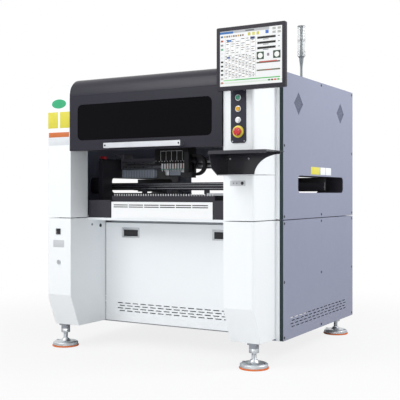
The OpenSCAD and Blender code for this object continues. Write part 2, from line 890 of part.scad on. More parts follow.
module head_housing() {
    color("#26262b") {
        difference() {
            block(head_x0, head_x1, head_y0, head_y1, head_z, head_top);
            for (i = [0 : 4]) {
                block(head_x - 78 + i * 36 - 1, head_x - 78 + i * 36 + 1, head_y0 - 1, head_y0 + 4, head_z - 1, head_top - 40);
            }
            for (i = [0 : 9]) {
                rod_z(nozzle_x(i), nozzle_y, head_z - 1, head_z + shaft_up + 4, spindle_shaft_d / 2 + run_gap);
            }
        }
    }
    color("#b9bdc3") {
        block(head_x0 + 10, head_x1 - 10, head_y1, beam_y0 - 14, head_z - 70, head_top - 30);
        for (z = [beam_z + 20, beam_top - 32]) {
            for (x = [head_x0 + 20, head_x1 - 70]) {
                difference() {
                    block(x, x + 50, beam_y0 - 14, beam_y0 - 3, z - 8, z + 20);
                    block(x - 1, x + 51, beam_y0 - 10 - loose_gap, beam_y0, z - loose_gap, z + 12 + loose_gap);
                }
            }
        }
    }
}

module head_camera() {
    x0 = nozzle_x(9) + nozzle_pitch / 2 + 4;
    x1 = x0 + 70;
    z0 = beam_z;
    color("#1d1d21") {
        difference() {
            block(x0, x1, head_y0 - 48, head_y0 - 2, z0, z0 + 30);
            rod_z((x0 + x1) / 2, head_y0 - 25, z0 - 1, z0 + 8, 15);
        }
        block(x0, x0 + 30, head_y0 - 14, head_y0, z0 + 20, head_z + 60);
    }
}

module cable_chain() {
    r1 = 60;
    r0 = 44;
    cx = head_x1 + 26;
    cz = head_z - 10;
    y0 = nozzle_y + 12;
    links = 12;
    color("#202024") {
        for (i = [0 : links - 1]) {
            a = -90 + (i + 0.5) * 180 / links;
            translate([cx, y0, cz]) rotate([0, -a, 0])
                translate([r0, 0, -r1 * sin(90 / links)]) cube([r1 - r0, 22, 2 * r1 * sin(90 / links)]);
        }
        block(head_x1, cx + 1, y0, y0 + 22, cz + r0, cz + r1);
        block(head_x1 - 30, cx + 1, y0, y0 + 22, cz - r1, cz - r0);
        block(head_x1 - 30, head_x1 - 12, y0, y0 + 22, cz - r0, head_z);
    }
}

function nozzle_x(i) = head_x + (i - 4.5) * nozzle_pitch;

// Spindle with its holder, reflector disc and tip
module nozzle(i) {
    r = spindle_shaft_d / 2;
    shank = head_z - tip_z;
    color("#e6e8ea") translate([nozzle_x(i), nozzle_y, tip_z])
        rotate_extrude($fn = 32) polygon([[0, 0], [1.5, 0], [2.2, 7], [4, 9], [4, 14], [7, 14], [7, 17], [5, 17],
                                [6.5, 20], [6.5, shank - 8], [r, shank - 6], [r, shank + shaft_up - 1],
                                [r - 1, shank + shaft_up], [0, shank + shaft_up]]);
}

module nozzle_1() { nozzle(0); }
module nozzle_2() { nozzle(1); }
module nozzle_3() { nozzle(2); }
module nozzle_4() { nozzle(3); }
module nozzle_5() { nozzle(4); }
module nozzle_6() { nozzle(5); }
module nozzle_7() { nozzle(6); }
module nozzle_8() { nozzle(7); }
module nozzle_9() { nozzle(8); }
module nozzle_10() { nozzle(9); }

// ---- Hood ----

module hood_section(inset) {
    shoulder(hood_y0 + inset, hinge_y, hood_bottom + inset, hood_top - inset, hood_r - inset);
}

module hood() {
    flange = 60;
    color("#45444f") {
        difference() {
            along_x(-hood_half, hood_half) hood_section(0);
            along_x(-hood_half + sheet, hood_half - sheet) hood_section(sheet);
            along_x(-hood_half - 1, hood_half + 1) hood_section(flange);
            along_x(-hood_half - 1, hood_half + 1) translate([hood_y0 + flange, hood_bottom - 1])
                square([hinge_d, hood_top - hood_bottom - flange - hood_r / 2]);
            along_x(-hood_half - 1, hood_half + 1) translate([hinge_y - 30, hood_bottom - 1])
                square([40, hood_top - hood_bottom - sheet + 1]);
            along_y(hood_y0 - 1, hood_y0 + sheet + 1)
                round_rect(-window_half, window_half, window_z0, window_z1, window_r);
            both_sides() block(hinge_x - 26, hinge_x + 26, hinge_y - knuckle_r - 3, hinge_y + 1, hood_bottom, hood_top + 1);
        }
        both_sides() difference() {
            union() {
                rod_x(hinge_x - 14, hinge_x + 14, hinge_y, hinge_z, knuckle_r);
                block(hinge_x - 14, hinge_x + 14, hinge_y - knuckle_r - 4, hinge_y, hood_top - 4, hood_top);
            }
            rod_x(hinge_x - 15, hinge_x + 15, hinge_y, hinge_z, hinge_pin_d / 2 + run_gap);
        }
    }
}

module hood_window() {
    lap = 12;
    color("#0f0c12") along_y(hood_y0 + sheet, hood_y0 + sheet + 4)
        round_rect(-window_half - lap, window_half + lap, window_z0 - lap, window_z1 + lap, window_r + lap);
}

module hood_handle() {
    z0 = hood_bottom + 8;
    reach = 28;
    color("#dfe2e6") difference() {
        along_y(hood_y0 - reach, hood_y0) round_rect(handle_x0, handle_x1, z0, z0 + handle_h, 3);
        block(handle_x0 + 20, handle_x1 - 20, hood_y0 - reach + 8, hood_y0 + 1, z0 - 1, z0 + handle_h + 1);
    }
}

// ---- Front door ----

module latch_place(side) {
    translate([side * latch_x, door_y, latch_z]) children();
}

module front_door() {
    cup = 16;
    wall = 2;
    hw = latch_w / 2;
    hh = latch_h / 2;
    color("#eef2f5") {
        difference() {
            block(-door_half, door_half, door_y, door_y + door_fold, door_z0, door_z1);
            block(-door_half + sheet, door_half - sheet, door_y + sheet, door_y + door_fold + 1, door_z0 - 1,
                  door_z1 - sheet);
            along_y(door_y - 1, door_y + sheet + 1)
                translate([0, door_z0 + 57]) slot_rows(-389, 389, 4, 15, 52.5, 38, 5);
            for (side = [-1, 1]) {
                latch_place(side) block(-hw + 3, hw - 3, -1, sheet + 1, -hh + 3, hh - 3);
            }
        }
        both_sides() {
            for (x = [-13, 7]) {
                difference() {
                    union() {
                        rod_x(door_half - 75 + x, door_half - 69 + x, door_pin_y, door_pin_z, 7);
                        block(door_half - 75 + x, door_half - 69 + x, door_y + sheet, door_pin_y, door_pin_z - 7,
                              door_pin_z + 7);
                    }
                    rod_x(door_half - 76 + x, door_half - 68 + x, door_pin_y, door_pin_z, 4 + run_gap);
                }
            }
        }
        for (side = [-1, 1]) {
            latch_place(side) difference() {
                union() {
                    block(-hw, hw, -wall, 0, -hh, hh);
                    block(-hw, hw, sheet, cup, -hh, hh);
                }
                block(-hw + 3, hw - 3, -wall - 1, cup - wall, -hh + 3, hh - 3);
                rod_x(-hw + 1, hw - 1, 5, hh - 7, 2 + run_gap);
            }
        }
    }
}

module latch(side) {
    hw = latch_w / 2 - 3 - loose_gap;
    hh = latch_h / 2 - 3 - loose_gap;
    color("#1f1f23") latch_place(side) {
        block(-hw, hw, 3, 6, -hh + 4, hh - 0.5);
        rod_x(-hw - 2, hw + 2, 5, hh - 3.5, 2);
        block(-hw + 20, hw - 20, 0, 3, -hh + 4, -hh + 9);
    }
}

module latch_left() { latch(-1); }
module latch_right() { latch(1); }

// ---- Controls, monitor and tray ----

function button_z(i) = i == 0 ? estop_z : estop_z + 2 + i * button_pitch;

module control_panel() {
    y0 = front - face_t;
    color("#3a3a48") {
        difference() {
            along_y(y0, front) round_rect(panel_x0, panel_x0 + panel_w, controls_z0, controls_z1, 14);
            for (i = [0 : 3]) {
                rod_y(buttons_x, y0 - 1, front + 1, button_z(i), button_d / 2 + loose_gap);
            }
        }
        for (i = [0 : 3]) {
            difference() {
                rod_y(buttons_x, y0 - bezel_t, y0, button_z(i), i == 0 ? ring_d / 2 : bezel_d / 2);
                rod_y(buttons_x, y0 - bezel_t - 1, y0 + 1, button_z(i), button_d / 2 + loose_gap);
            }
        }
    }
}

// Push button with its stem, facing -Y
module push_button(i) {
    y0 = front - face_t - bezel_t;
    rod_y(buttons_x, y0 - 6, front + 2, button_z(i), button_d / 2);
    rod_y(buttons_x, front + 2, front + 22, button_z(i), button_d / 2 - 4);
}

module button_green() { color("#1f7a63") push_button(3); }
module button_yellow() { color("#d8a22c") push_button(2); }
module button_white() { color("#e8eaf0") push_button(1); }

module estop_button() {
    y0 = front - face_t - bezel_t;
    r = estop_d / 2;
    color("#c8252c") translate([buttons_x, front + 22, button_z(0)]) rotate([90, 0, 0])
        rotate_extrude() {
            square([button_d / 2 - 4, 20]);
            translate([0, 20]) square([button_d / 2, 2 + face_t + bezel_t + 8]);
            translate([0, 28 + face_t + bezel_t]) square([r, 6]);
            translate([0, 34 + face_t + bezel_t]) square([r - 3, 3]);
            translate([r - 3, 34 + face_t + bezel_t]) intersection() {
                circle(r = 3);
                square(3);
            }
        }
}

module monitor_arm() {
    sleeve = post_d / 2 + 8;
    z0 = monitor_z - 18;
    z1 = monitor_z + 12;
    pin_r = 8;
    color("#3a3a42") {
        difference() {
            union() {
                rod_z(post_x, post_y, z0, z1, sleeve);
                block(post_x - 14, post_x + 14, tilt_y + 14, post_y, z0 + 4, z1 - 4);
                block(post_x - 14, monitor_x + 8, tilt_y + 14, tilt_y + 30, z0 + 4, z1 - 4);
                block(monitor_x - 8, monitor_x + 8, tilt_y, tilt_y + 15, z0 + 10, z1 - 4);
            }
            rod_z(post_x, post_y, z0 - 1, z1 - 6, post_d / 2 + run_gap);
        }
        rod_x(monitor_x - 26, monitor_x + 26, tilt_y, monitor_z, pin_r);
    }
}

module monitor() {
    y1 = monitor_y0 + monitor_t;
    bezel = 17;
    hw = monitor_w / 2;
    hh = monitor_h / 2;
    z = monitor_z;
    color("#2b2733") {
        difference() {
            union() {
                along_y(monitor_y0, monitor_y0 + 18)
                    round_rect(monitor_x - hw, monitor_x + hw, z - hh, z + hh, 6);
                along_y(monitor_y0 + 18, y1 - 4)
                    round_rect(monitor_x - hw + 40, monitor_x + hw - 40, z - hh + 35, z + hh - 35, 14);
            }
            along_y(monitor_y0 - 1, monitor_y0 + 2)
                round_rect(monitor_x - hw + bezel, monitor_x + hw - bezel, z - hh + bezel + 3, z + hh - bezel, 2);
        }
        along_y(y1 - 4, y1) round_rect(monitor_x - 50, monitor_x + 50, z - 50, z + 50, 6);
        for (x = [monitor_x - 22, monitor_x + 12]) {
            difference() {
                union() {
                    rod_x(x, x + 10, tilt_y, z, 11);
                    block(x, x + 10, y1, tilt_y, z - 11, z + 11);
                }
                rod_x(x - 1, x + 11, tilt_y, z, 8 + run_gap);
            }
        }
    }
}

module keyboard_tray() {
    x0 = panel_x0 - 16;
    y0 = front - tray_out;
    wing_x = column_x1 + 11;
    wing_r = tray_z - shelf_z - 20;
    color("#26242b") {
        block(x0, tray_x1, y0, front, tray_z - tray_t, tray_z);
        block(x0, tray_x1, y0, y0 + tray_t, tray_z - 16, tray_z - tray_t);
        along_y(front - tray_t, front) difference() {
            translate([x0, shelf_z]) square([tray_x1 - 20 - x0, tray_z - tray_t - shelf_z]);
            translate([tray_x1 - 20, shelf_z - 1]) scale([1.35, 1]) circle(r = wing_r + 8, $fn = 96);
        }
        along_x(x0, x0 + tray_t) polygon([[front, tray_z - tray_t], [y0, tray_z - tray_t],
            [y0 + 34, shelf_z + 30], [y0 + 89, shelf_z], [front, shelf_z]]);
        block(x0 + tray_t, wing_x - 60, y0 + 100, front - tray_t, shelf_z + 4, shelf_z + 4 + tray_t);
    }
}

module mouse_shelf() {
    x0 = panel_x0 - 12;
    color("#c5c8cc") {
        block(x0, tray_x1 - 42, front - tray_out + 89, front - tray_t - loose_gap, shelf_z, shelf_z + tray_t);
    }
}

module tower_light_pole() {
    x = foot_x - 2;
    y = front + 700;
    base_z = panel_top + pole_h;
    color("#3b3b40") {
        rod_z(x, y, panel_top, panel_top + 8, 20);
        rod_z(x, y, panel_top + 8, base_z, 9);
        rod_z(x, y, base_z, base_z + 24, tower_d / 2 + 2);
    }
}

module tower_light_lens() {
    x = foot_x - 2;
    y = front + 700;
    z0 = panel_top + pole_h + 24;
    tiers = 3;
    color("#dfe6ea") {
        for (i = [0 : tiers - 1]) {
            rod_z(x, y, z0 + i * lens_h / tiers, z0 + (i + 1) * lens_h / tiers - 4, tower_d / 2);
            rod_z(x, y, z0 + (i + 1) * lens_h / tiers - 4, z0 + (i + 1) * lens_h / tiers, tower_d / 2 - 1);
        }
    }
}

// ---- Feet ----

module foot(x, y) {
    nut_top = frame_bottom - 18.3;
    pad_r = foot_d / 2 - 4;
    z1 = sole_h + pad_h;
    color("#8f979d") difference() {
        translate([x, y, 0]) {
            rotate_extrude() polygon([[0, sole_h], [pad_r, sole_h], [pad_r, z1 - 6], [pad_r - 10, z1], [30, z1], [18, z1 + 15],
                                      [spindle_d / 2, z1 + 15], [spindle_d / 2, frame_bottom + tube - 8], [0, frame_bottom + tube - 8]]);
            translate([0, 0, nut_top - 22]) cylinder(d = 44 / cos(30), h = 22, $fn = 6);
        }
        foot_holes(x, y);
    }
    color("#e0743a") difference() {
        rod_z(x, y, 0, sole_h, foot_d / 2);
        foot_holes(x, y);
    }
}

module foot_holes(x, y) {
    for (s = [-1, 1]) {
        rod_z(x + s * foot_bolt_pcd / 2, y, -1, sole_h + pad_h + 1, foot_bolt_d / 2);
    }
}

module foot_front_left() { foot(-foot_x, foot_y0); }
module foot_front_right() { foot(foot_x, foot_y0); }
module foot_rear_left() { foot(-foot_x, foot_y1); }
module foot_rear_right() { foot(foot_x, foot_y1); }

base_frame();
machine_bed();
side_frames();
side_panel_left_upper();
side_panel_left_lower();
side_panel_right_upper();
side_panel_right_lower();
fan_guards();
rear_cover();
rear_panel();
column_left_upper();
column_left_lower();
column_right_upper();
column_right_lower();
feeder_table();
feeder_cover();
feeder_bank();
conveyor_fixed_rail();
conveyor_movable_rail();
up_camera();
nozzle_station();
control_unit();
rear_inlets();
control_panel();
keyboard_tray();
mouse_shelf();
tower_light_pole();
tower_light_lens();
gantry_beam();
head_housing();
head_camera();
cable_chain();
nozzle_1();
nozzle_2();
nozzle_3();
nozzle_4();
nozzle_5();
nozzle_6();
nozzle_7();
nozzle_8();
nozzle_9();
nozzle_10();
hood();
hood_window();
hood_handle();
front_door();
latch_left();
latch_right();
button_green();
button_yellow();
button_white();
estop_button();
power_rocker();
key_lock();
monitor_arm();
monitor();
foot_front_left();
foot_front_right();
foot_rear_left();
foot_rear_right();
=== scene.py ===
"""Visual model of a floor-standing pick and place machine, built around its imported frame.

Sizes of pieces are in millimetres in the machine's own frame: X along the conveyor, Y to the rear, Z up.
"""

from __future__ import annotations

import logging
import math
from collections.abc import Iterable, Iterator, Sequence
from dataclasses import dataclass
from enum import Enum
from typing import Any

import bmesh
import bpy
from mathutils import Matrix, Vector

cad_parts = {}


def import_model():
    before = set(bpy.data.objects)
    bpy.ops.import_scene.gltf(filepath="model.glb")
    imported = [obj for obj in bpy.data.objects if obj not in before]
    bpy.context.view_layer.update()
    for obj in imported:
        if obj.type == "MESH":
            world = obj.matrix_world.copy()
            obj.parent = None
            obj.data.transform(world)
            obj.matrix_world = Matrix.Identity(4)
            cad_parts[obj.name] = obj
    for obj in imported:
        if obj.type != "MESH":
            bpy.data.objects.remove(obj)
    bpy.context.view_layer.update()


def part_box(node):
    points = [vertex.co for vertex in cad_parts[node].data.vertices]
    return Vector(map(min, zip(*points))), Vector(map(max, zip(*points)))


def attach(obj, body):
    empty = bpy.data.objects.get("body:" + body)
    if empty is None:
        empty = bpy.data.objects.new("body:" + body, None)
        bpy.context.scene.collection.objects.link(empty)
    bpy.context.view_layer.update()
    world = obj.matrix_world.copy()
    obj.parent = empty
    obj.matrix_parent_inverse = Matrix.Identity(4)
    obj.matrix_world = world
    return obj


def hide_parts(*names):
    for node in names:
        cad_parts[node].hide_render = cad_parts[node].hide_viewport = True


MM = 0.001
SMOOTH_BELOW = 35.0  # degrees up to which an edge is shaded smooth
LOG = logging.getLogger("machine")

Point = tuple[float, float, float]
Span = tuple[float, float]
Outline = tuple[tuple[float, float], ...]


# ---- Shader maths ----


def linear(code: str, gain: float = 1.0) -> tuple[float, float, float, float]:
    """Turns a paint code into the numbers that a colour socket takes.

    Args:
        code: six hexadecimal digits after a hash.
        gain: factor on the brightness.

    Returns:
        Red, green, blue and alpha.
    """
    parts = [int(code[i : i + 2], 16) / 255 for i in (1, 3, 5)]
    tones = [c / 12.92 if c <= 0.04045 else ((c + 0.055) / 1.055) ** 2.4 for c in parts]
    return (*(min(1.0, t * gain) for t in tones), 1.0)


class Value:
    """A number in a shader graph, whose operators add Math nodes."""

    def __init__(self, graph: Graph, socket: bpy.types.NodeSocket) -> None:
        """Keeps the graph and the socket that gives the number."""
        self.graph = graph
        self.socket = socket

    def __add__(self, other: float | Value) -> Value:
        """Sum."""
        return self.graph.math("ADD", self, other)

    def __radd__(self, other: float) -> Value:
        """Sum with a number first."""
        return self.graph.math("ADD", other, self)

    def __sub__(self, other: float | Value) -> Value:
        """Difference."""
        return self.graph.math("SUBTRACT", self, other)

    def __rsub__(self, other: float) -> Value:
        """Difference with a number first."""
        return self.graph.math("SUBTRACT", other, self)

    def __mul__(self, other: float | Value) -> Value:
        """Product."""
        return self.graph.math("MULTIPLY", self, other)

    def __rmul__(self, other: float) -> Value:
        """Product with a number first."""
        return self.graph.math("MULTIPLY", other, self)

    def __truediv__(self, other: float | Value) -> Value:
        """Quotient."""
        return self.graph.math("DIVIDE", self, other)

    def repeat(self, pitch: float) -> Value:
        """Place within a step of a repeated pattern, from 0 to 1."""
        return self.graph.math("FRACT", self / pitch)

    def fade(self, start: float, stop: float) -> Value:
        """Smooth step between two values.

        Args:
            start: value up to which it is 0.
            stop: value from which it is 1.

        Returns:
            The step.
        """
        settings = {"interpolation_type": "SMOOTHSTEP", "clamp": True}
        node = self.graph.node("ShaderNodeMapRange", settings, {0: self, 1: start, 2: stop})
        return Value(self.graph, node.outputs[0])


class Graph:
    """The nodes of one material."""

    def __init__(self, name: str) -> None:
        """Starts a material with a Principled shader and Object coordinates.

        Args:
            name: the material's name.
        """
        self.material = bpy.data.materials.new(name)
        self.material.use_nodes = True
        self.tree = self.material.node_tree
        self.shader = self.tree.nodes["Principled BSDF"]
        self.output = self.tree.nodes["Material Output"]
        self.coords = self.node("ShaderNodeTexCoord").outputs["Object"]

    def node(
        self, kind: str, settings: dict[str, Any] | None = None, values: dict[int | str, Any] | None = None
    ) -> bpy.types.Node:
        """Adds any node.

        Args:
            kind: the node's type.
            settings: its own settings; stops are a ramp's places and colours.
            values: numbers, colours, values or sockets by input.

        Returns:
            The node.
        """
        made = self.tree.nodes.new(kind)
        for key, setting in (settings or {}).items():
            if key == "stops":
                self._stops(made.color_ramp, setting)
            else:
                setattr(made, key, setting)
        for key, value in (values or {}).items():
            self.feed(made.inputs[key], value)
        return made

    @staticmethod
    def _stops(ramp: bpy.types.ColorRamp, stops: Sequence[tuple[float, Any]]) -> None:
        """Sets a ramp's stops.

        Args:
            ramp: the ramp.
            stops: places and colours, at least two.
        """
        while len(ramp.elements) < len(stops):
            ramp.elements.new(0.5)
        for element, (place, colour) in zip(ramp.elements, stops):
            element.position = place
            element.color = colour

    def feed(self, entry: bpy.types.NodeSocket, value: Any) -> None:
        """Links a value or a socket to an input, or sets a constant on it.

        Args:
            entry: the input.
            value: a value, a socket or a constant.
        """
        if isinstance(value, Value):
            self.tree.links.new(value.socket, entry)
        elif isinstance(value, bpy.types.NodeSocket):
            self.tree.links.new(value, entry)
        else:
            entry.default_value = value

    def math(self, operation: str, *terms: float | Value) -> Value:
        """Adds a Math node and gives its result."""
        made = self.node("ShaderNodeMath", {"operation": operation}, dict(enumerate(terms)))
        return Value(self, made.outputs[0])

    def axis(self, index: int) -> Value:
        """Object coordinate along X, Y or Z, in millimetres."""
        split = self.node("ShaderNodeSeparateXYZ", None, {0: self.coords})
        return Value(self, split.outputs[index]) * (1 / MM)

    def stretched(self, scale: Point) -> bpy.types.NodeSocket:
        """Object coordinates with a scale for each axis."""
        return self.node("ShaderNodeMapping", None, {"Vector": self.coords, "Scale": scale}).outputs[0]

    def noise(self, pitch: float, detail: float = 2.0, stretch: Point = (1.0, 1.0, 1.0)) -> Value:
        """Noise from 0 to 1.

        Args:
            pitch: size of its lumps in millimetres.
            detail: number of finer layers.
            stretch: scale for each axis, small along a grain.

        Returns:
            The noise.
        """
        values = {"Vector": self.stretched(stretch), "Scale": 1 / (pitch * MM), "Detail": detail}
        return Value(self, self.node("ShaderNodeTexNoise", None, values).outputs[0])

    def blend(self, factor: float | Value, low: Any, high: Any) -> bpy.types.NodeSocket:
        """Mixes two colours."""
        settings = {"data_type": "RGBA"}
        return self.node("ShaderNodeMix", settings, {"Factor": factor, 6: low, 7: high}).outputs[2]

    def relief(
        self, height: Value, depth: float, strength: float = 1.0, edge: float = 0.0
    ) -> bpy.types.NodeSocket:
        """Normal of a surface with a fine relief.

        Args:
            height: relief from 0 to 1.
            depth: its depth in millimetres.
            strength: how much of it shows.
            edge: radius in millimetres that sharp edges are eased by.

        Returns:
            The normal.
        """
        values: dict[int | str, Any] = {"Strength": strength, "Distance": depth * MM, "Height": height}
        if edge:
            values["Normal"] = self.node("ShaderNodeBevel", {"samples": 4}, {"Radius": edge * MM}).outputs[0]
        return self.node("ShaderNodeBump", None, values).outputs[0]

    def set(self, **values: Any) -> None:
        """Sets the shader's inputs, named with underscores for spaces."""
        for key, value in values.items():
            self.feed(self.shader.inputs[key.replace("_", " ")], value)


# ---- Finishes ----


@dataclass(frozen=True)
class Finish:
    """A finish of the machine. Each kind paints its own graph."""

    name: str
    colour: str = "#808080"

    def paint(self, graph: Graph) -> None:
        """Fills the graph of this finish.

        Args:
            graph: the graph of its material.
        """
        raise NotImplementedError

    def tones(self, graph: Graph, mask: Value, darker: float, lighter: float) -> bpy.types.NodeSocket:
        """The colour, a little darker and lighter by a mask.

        Args:
            graph: the graph that gets it.
            mask: 0 where it is darkest, 1 where it is lightest.
            darker: share of the brightness that it loses.
            lighter: share of the brightness that it gains.

        Returns:
            The colour.
        """
        return graph.blend(mask, linear(self.colour, 1 - darker), linear(self.colour, 1 + lighter))

    def material(self) -> bpy.types.Material:
        """The material, made once.

        Returns:
            The material of this finish.
        """
        found = bpy.data.materials.get(self.name)
        if found:
            return found
        graph = Graph(self.name)
        self.paint(graph)
        return graph.material


@dataclass(frozen=True)
class PowderCoat(Finish):
    """Baked powder paint on folded sheet, with a fine orange peel. Dust lies on it near the floor."""

    roughness: float = 0.42
    tone: float = 0.05
    peel: float = 1.6
    edge: float = 1.2
    specular: float = 0.4
    dust: float = 0.0
    dust_z: Span = (60.0, 420.0)
    dust_colour: str = "#8b8880"
    cloud_pitch: float = 260.0
    speck_pitch: float = 0.9
    stain_pitch: float = 40.0

    def paint(self, graph: Graph) -> None:
        """Cloudy tone, fine speckle, dust near the floor, orange peel.

        Args:
            graph: the graph of its material.
        """
        cloud = graph.noise(self.cloud_pitch, 3.0)
        speck = graph.noise(self.speck_pitch, 1.0)
        colour = self.tones(graph, cloud * 0.7 + speck * 0.3, self.tone, self.tone)
        if self.dust:
            low = (1.0 - graph.axis(2).fade(*self.dust_z)) * graph.noise(60.0, 4.0) * self.dust
            colour = graph.blend(low, colour, linear(self.dust_colour))
        graph.set(
            Base_Color=colour,
            Roughness=graph.noise(self.stain_pitch, 2.0) * 0.1 + (self.roughness - 0.05),
            Specular_IOR_Level=self.specular,
            Normal=graph.relief(graph.noise(self.peel, 2.0), 0.05, 0.5, self.edge),
        )


@dataclass(frozen=True)
class Metal(Finish):
    """Bare metal: ground, brushed or cast by its grain."""

    roughness: float = 0.35
    grain: Point = (1.0, 1.0, 1.0)
    pitch: float = 1.2
    depth: float = 0.03
    tone: float = 0.12
    edge: float = 0.6
    metallic: float = 1.0
    stain_pitch: float = 70.0

    def paint(self, graph: Graph) -> None:
        """Streaks along the grain in colour, roughness and relief.

        Args:
            graph: the graph of its material.
        """
        streak = graph.noise(self.pitch, 3.0, self.grain)
        stain = graph.noise(self.stain_pitch, 3.0)
        graph.set(
            Base_Color=self.tones(graph, streak * 0.6 + stain * 0.4, self.tone, self.tone),
            Metallic=self.metallic,
            Roughness=streak * 0.16 + stain * 0.1 + (self.roughness - 0.13),
            Normal=graph.relief(streak, self.depth, 0.4, self.edge),
        )


@dataclass(frozen=True)
class Plastic(Finish):
    """Moulded plastic with a spark-eroded grain."""

    roughness: float = 0.45
    grain: float = 0.8
    depth: float = 0.04
    tone: float = 0.08
    edge: float = 0.6
    specular: float = 0.4
    coat: float = 0.0
    cloud_pitch: float = 45.0

    def paint(self, graph: Graph) -> None:
        """Fine grain and a slight cloud of tone.

        Args:
            graph: the graph of its material.
        """
        grain = graph.noise(self.grain, 2.0)
        cloud = graph.noise(self.cloud_pitch, 2.0)
        graph.set(
            Base_Color=self.tones(graph, cloud * 0.6 + grain * 0.4, self.tone, self.tone),
            Roughness=cloud * 0.1 + (self.roughness - 0.05),
            Specular_IOR_Level=self.specular,
            Coat_Weight=self.coat,
            Coat_Roughness=0.08,
            Normal=graph.relief(grain, self.depth, 0.5, self.edge),
        )


@dataclass(frozen=True)
class Acrylic(Finish):
    """Smoked or clear sheet, polished, with faint wipe marks."""

    roughness: float = 0.06
    specular: float = 0.12
    transmission: float = 0.0
    wipe_pitch: float = 120.0
    wave_pitch: float = 300.0

    def paint(self, graph: Graph) -> None:
        """Wipe marks in the roughness and a deep even colour.

        Args:
            graph: the graph of its material.
        """
        wipe = graph.noise(self.wipe_pitch, 4.0, (0.3, 1.0, 1.0))
        graph.set(
            Base_Color=self.tones(graph, wipe, 0.15, 0.15),
            Roughness=wipe * 0.06 + self.roughness,
            Specular_IOR_Level=self.specular,
            Transmission_Weight=self.transmission,
            Normal=graph.relief(graph.noise(self.wave_pitch, 1.0), 0.1, 0.2),
        )


@dataclass(frozen=True)
class Rubber(Finish):
    """Moulded rubber with a dull, slightly dusty skin."""

    roughness: float = 0.75
    grain: float = 1.4
    dust_pitch: float = 14.0
    dust_colour: str = "#b9a898"

    def paint(self, graph: Graph) -> None:
        """Dust in the hollows of a coarse grain.

        Args:
            graph: the graph of its material.
        """
        grain = graph.noise(self.grain, 4.0)
        dust = graph.noise(self.dust_pitch, 4.0).fade(0.45, 0.8) * 0.35
        base = self.tones(graph, grain, 0.15, 0.12)
        graph.set(
            Base_Color=graph.blend(dust, base, linear(self.dust_colour)),
            Roughness=grain * 0.12 + (self.roughness - 0.06),
            Specular_IOR_Level=0.25,
            Normal=graph.relief(grain, 0.15, 0.6, 0.8),
        )


@dataclass(frozen=True)
class Picture(Finish):
    """Lit panel of a display, coloured by the tint of each tile."""

    glow: float = 0.75
    dot_pitch: float = 0.9

    def paint(self, graph: Graph) -> None:
        """The tint feeds the surface and its glow, behind a fine grid of dots.

        Args:
            graph: the graph of its material.
        """
        tint = graph.node("ShaderNodeAttribute", {"attribute_name": "tint"}).outputs["Color"]
        black = (0.0, 0.0, 0.0, 1.0)
        grid = graph.axis(0).repeat(self.dot_pitch) * graph.axis(2).repeat(self.dot_pitch)
        lit = graph.blend(grid.fade(0.0, 0.4) * 0.06, tint, black)
        graph.set(
            Base_Color=graph.blend(0.75, lit, black),
            Emission_Color=lit,
            Emission_Strength=self.glow,
            Roughness=graph.noise(30.0, 2.0) * 0.06 + 0.2,
            Specular_IOR_Level=0.2,
        )


